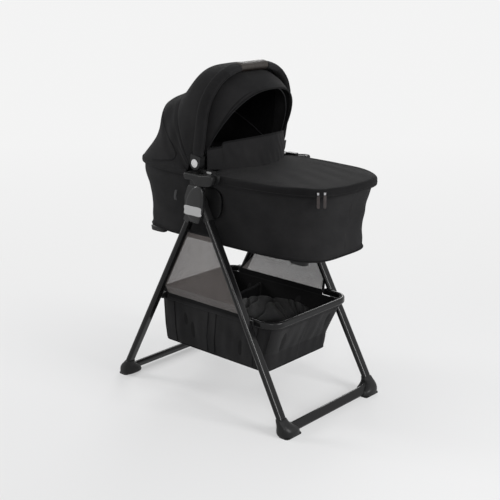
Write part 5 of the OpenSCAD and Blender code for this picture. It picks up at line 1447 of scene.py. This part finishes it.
def makeView():
    ahead = Vector(view["ahead"]).normalized()
    turn = math.atan2(-ahead.x, ahead.y)
    level = Vector((math.cos(turn), math.sin(turn), 0))
    up = level.cross(ahead)
    right = math.cos(view["roll"]) * level + math.sin(view["roll"]) * up
    above = right.cross(ahead)
    lens = bpy.data.cameras.new("view")
    lens.lens, lens.sensor_width = view["lens"], 36
    camera = bpy.data.objects.new("view", lens)
    place = view["middle"]
    camera.matrix_world = Matrix(((right.x, above.x, -ahead.x, place[0]), (right.y, above.y, -ahead.y, place[1]),
                                  (right.z, above.z, -ahead.z, place[2]), (0, 0, 0, 1)))
    bpy.context.scene.collection.objects.link(camera)
    bpy.context.scene.camera = camera

makeView()

# Lamps: name, place, size, strength, aimed at the bassinet's middle
lamps = [
    ("key_lamp", (3.3, 0.3, 1.5), 1.3, 76),
    ("top_lamp", (-0.6, 0.1, 3.4), 1.8, 8),
    ("side_lamp", (-3.0, -1.4, 1.9), 1.0, 38),
    ("back_lamp", (-1.8, 2.6, 2.2), 1.4, 34),
    ("front_lamp", (2.3, -2.7, 2.2), 0.8, 30),
]
for name, place, size, power in lamps:
    light = bpy.data.lights.new(name, "AREA")
    light.size, light.energy = size, power
    lamp = bpy.data.objects.new(name, light)
    aim = Vector((0, 0, 0.55)) - Vector(place)
    lamp.matrix_world = Matrix.Translation(place) @ aim.to_track_quat("-Z", "Y").to_matrix().to_4x4()
    bpy.context.scene.collection.objects.link(lamp)

backdrop = {"farTone": 0.90, "nearTone": 0.815, "shadowShare": 0.55, "worldStrength": 0.42}

# Share of what the eye, a mirror or clear glass sees, rather than what lights the object
def seenShare(tree):
    path = tree.nodes.new("ShaderNodeLightPath")
    most = path.outputs["Is Camera Ray"]
    for output in ("Is Glossy Ray", "Is Transmission Ray"):
        node = linked(tree, "ShaderNodeMath", operation="MAXIMUM")
        tree.links.new(most, node.inputs[0])
        tree.links.new(path.outputs[output], node.inputs[1])
        most = node.outputs[0]
    return most

# Floor: part lit, so that it keeps the shadow, and part plain pale tone that fades into the backdrop with distance
def floorFinish():
    finish, tree, shader = newFinish("pale_floor")
    place = tree.nodes.new("ShaderNodeTexCoord")
    turn = tree.nodes.new("ShaderNodeMapping")
    turn.inputs["Rotation"].default_value = (0, 0, math.radians(-132.6))
    tree.links.new(place.outputs["Object"], turn.inputs["Vector"])
    split = tree.nodes.new("ShaderNodeSeparateXYZ")
    tree.links.new(turn.outputs[0], split.inputs[0])
    away = linked(tree, "ShaderNodeMapRange")
    away.inputs["From Min"].default_value, away.inputs["From Max"].default_value = -1.2, 4.5
    tree.links.new(split.outputs["X"], away.inputs["Value"])
    near, far = backdrop["nearTone"], backdrop["farTone"]
    ramp = colourRamp(tree, away.outputs[0], [(0.0, (near,) * 3), (1.0, (far,) * 3)])
    tree.links.new(ramp.outputs[0], shader.inputs["Base Color"])
    shader.inputs["Roughness"].default_value = 0.95
    shader.inputs["Specular IOR Level"].default_value = 0.1
    plain = tree.nodes.new("ShaderNodeEmission")
    tree.links.new(ramp.outputs[0], plain.inputs["Color"])
    run = linked(tree, "ShaderNodeVectorMath", operation="LENGTH")
    tree.links.new(place.outputs["Object"], run.inputs[0])
    fade = linked(tree, "ShaderNodeMapRange", interpolation_type="SMOOTHSTEP")
    fade.inputs["From Min"].default_value, fade.inputs["From Max"].default_value = 0.5, 1.9
    fade.inputs["To Min"].default_value = 1 - backdrop["shadowShare"]
    tree.links.new(run.outputs["Value"], fade.inputs["Value"])
    share = linked(tree, "ShaderNodeMath", operation="MULTIPLY")
    tree.links.new(fade.outputs[0], share.inputs[0])
    tree.links.new(seenShare(tree), share.inputs[1])
    mix = tree.nodes.new("ShaderNodeMixShader")
    tree.links.new(share.outputs[0], mix.inputs[0])
    tree.links.new(shader.outputs[0], mix.inputs[1])
    tree.links.new(plain.outputs[0], mix.inputs[2])
    tree.links.new(mix.outputs[0], tree.nodes["Material Output"].inputs["Surface"])
    return finish

bpy.ops.mesh.primitive_plane_add(size=60)
floor = bpy.context.object
floor.name = "pale_floor"
floor.data.materials.append(floorFinish())

world = bpy.data.worlds.new("studio")
world.use_nodes = True
bpy.context.scene.world = world
bpy.context.scene.view_settings.view_transform = "Standard"
tree = world.node_tree
sky = tree.nodes["Background"]
seen = tree.nodes.new("ShaderNodeBackground")
sky.inputs["Color"].default_value, sky.inputs["Strength"].default_value = (0.97, 0.98, 1,
                                                                           1), backdrop["worldStrength"]
seen.inputs["Color"].default_value, seen.inputs["Strength"].default_value = (backdrop["farTone"],) * 3 + (1,), 1.0
mix = tree.nodes.new("ShaderNodeMixShader")
tree.links.new(seenShare(tree), mix.inputs[0])
tree.links.new(sky.outputs[0], mix.inputs[1])
tree.links.new(seen.outputs[0], mix.inputs[2])
tree.links.new(mix.outputs[0], tree.nodes["World Output"].inputs["Surface"])
print("view and light made")
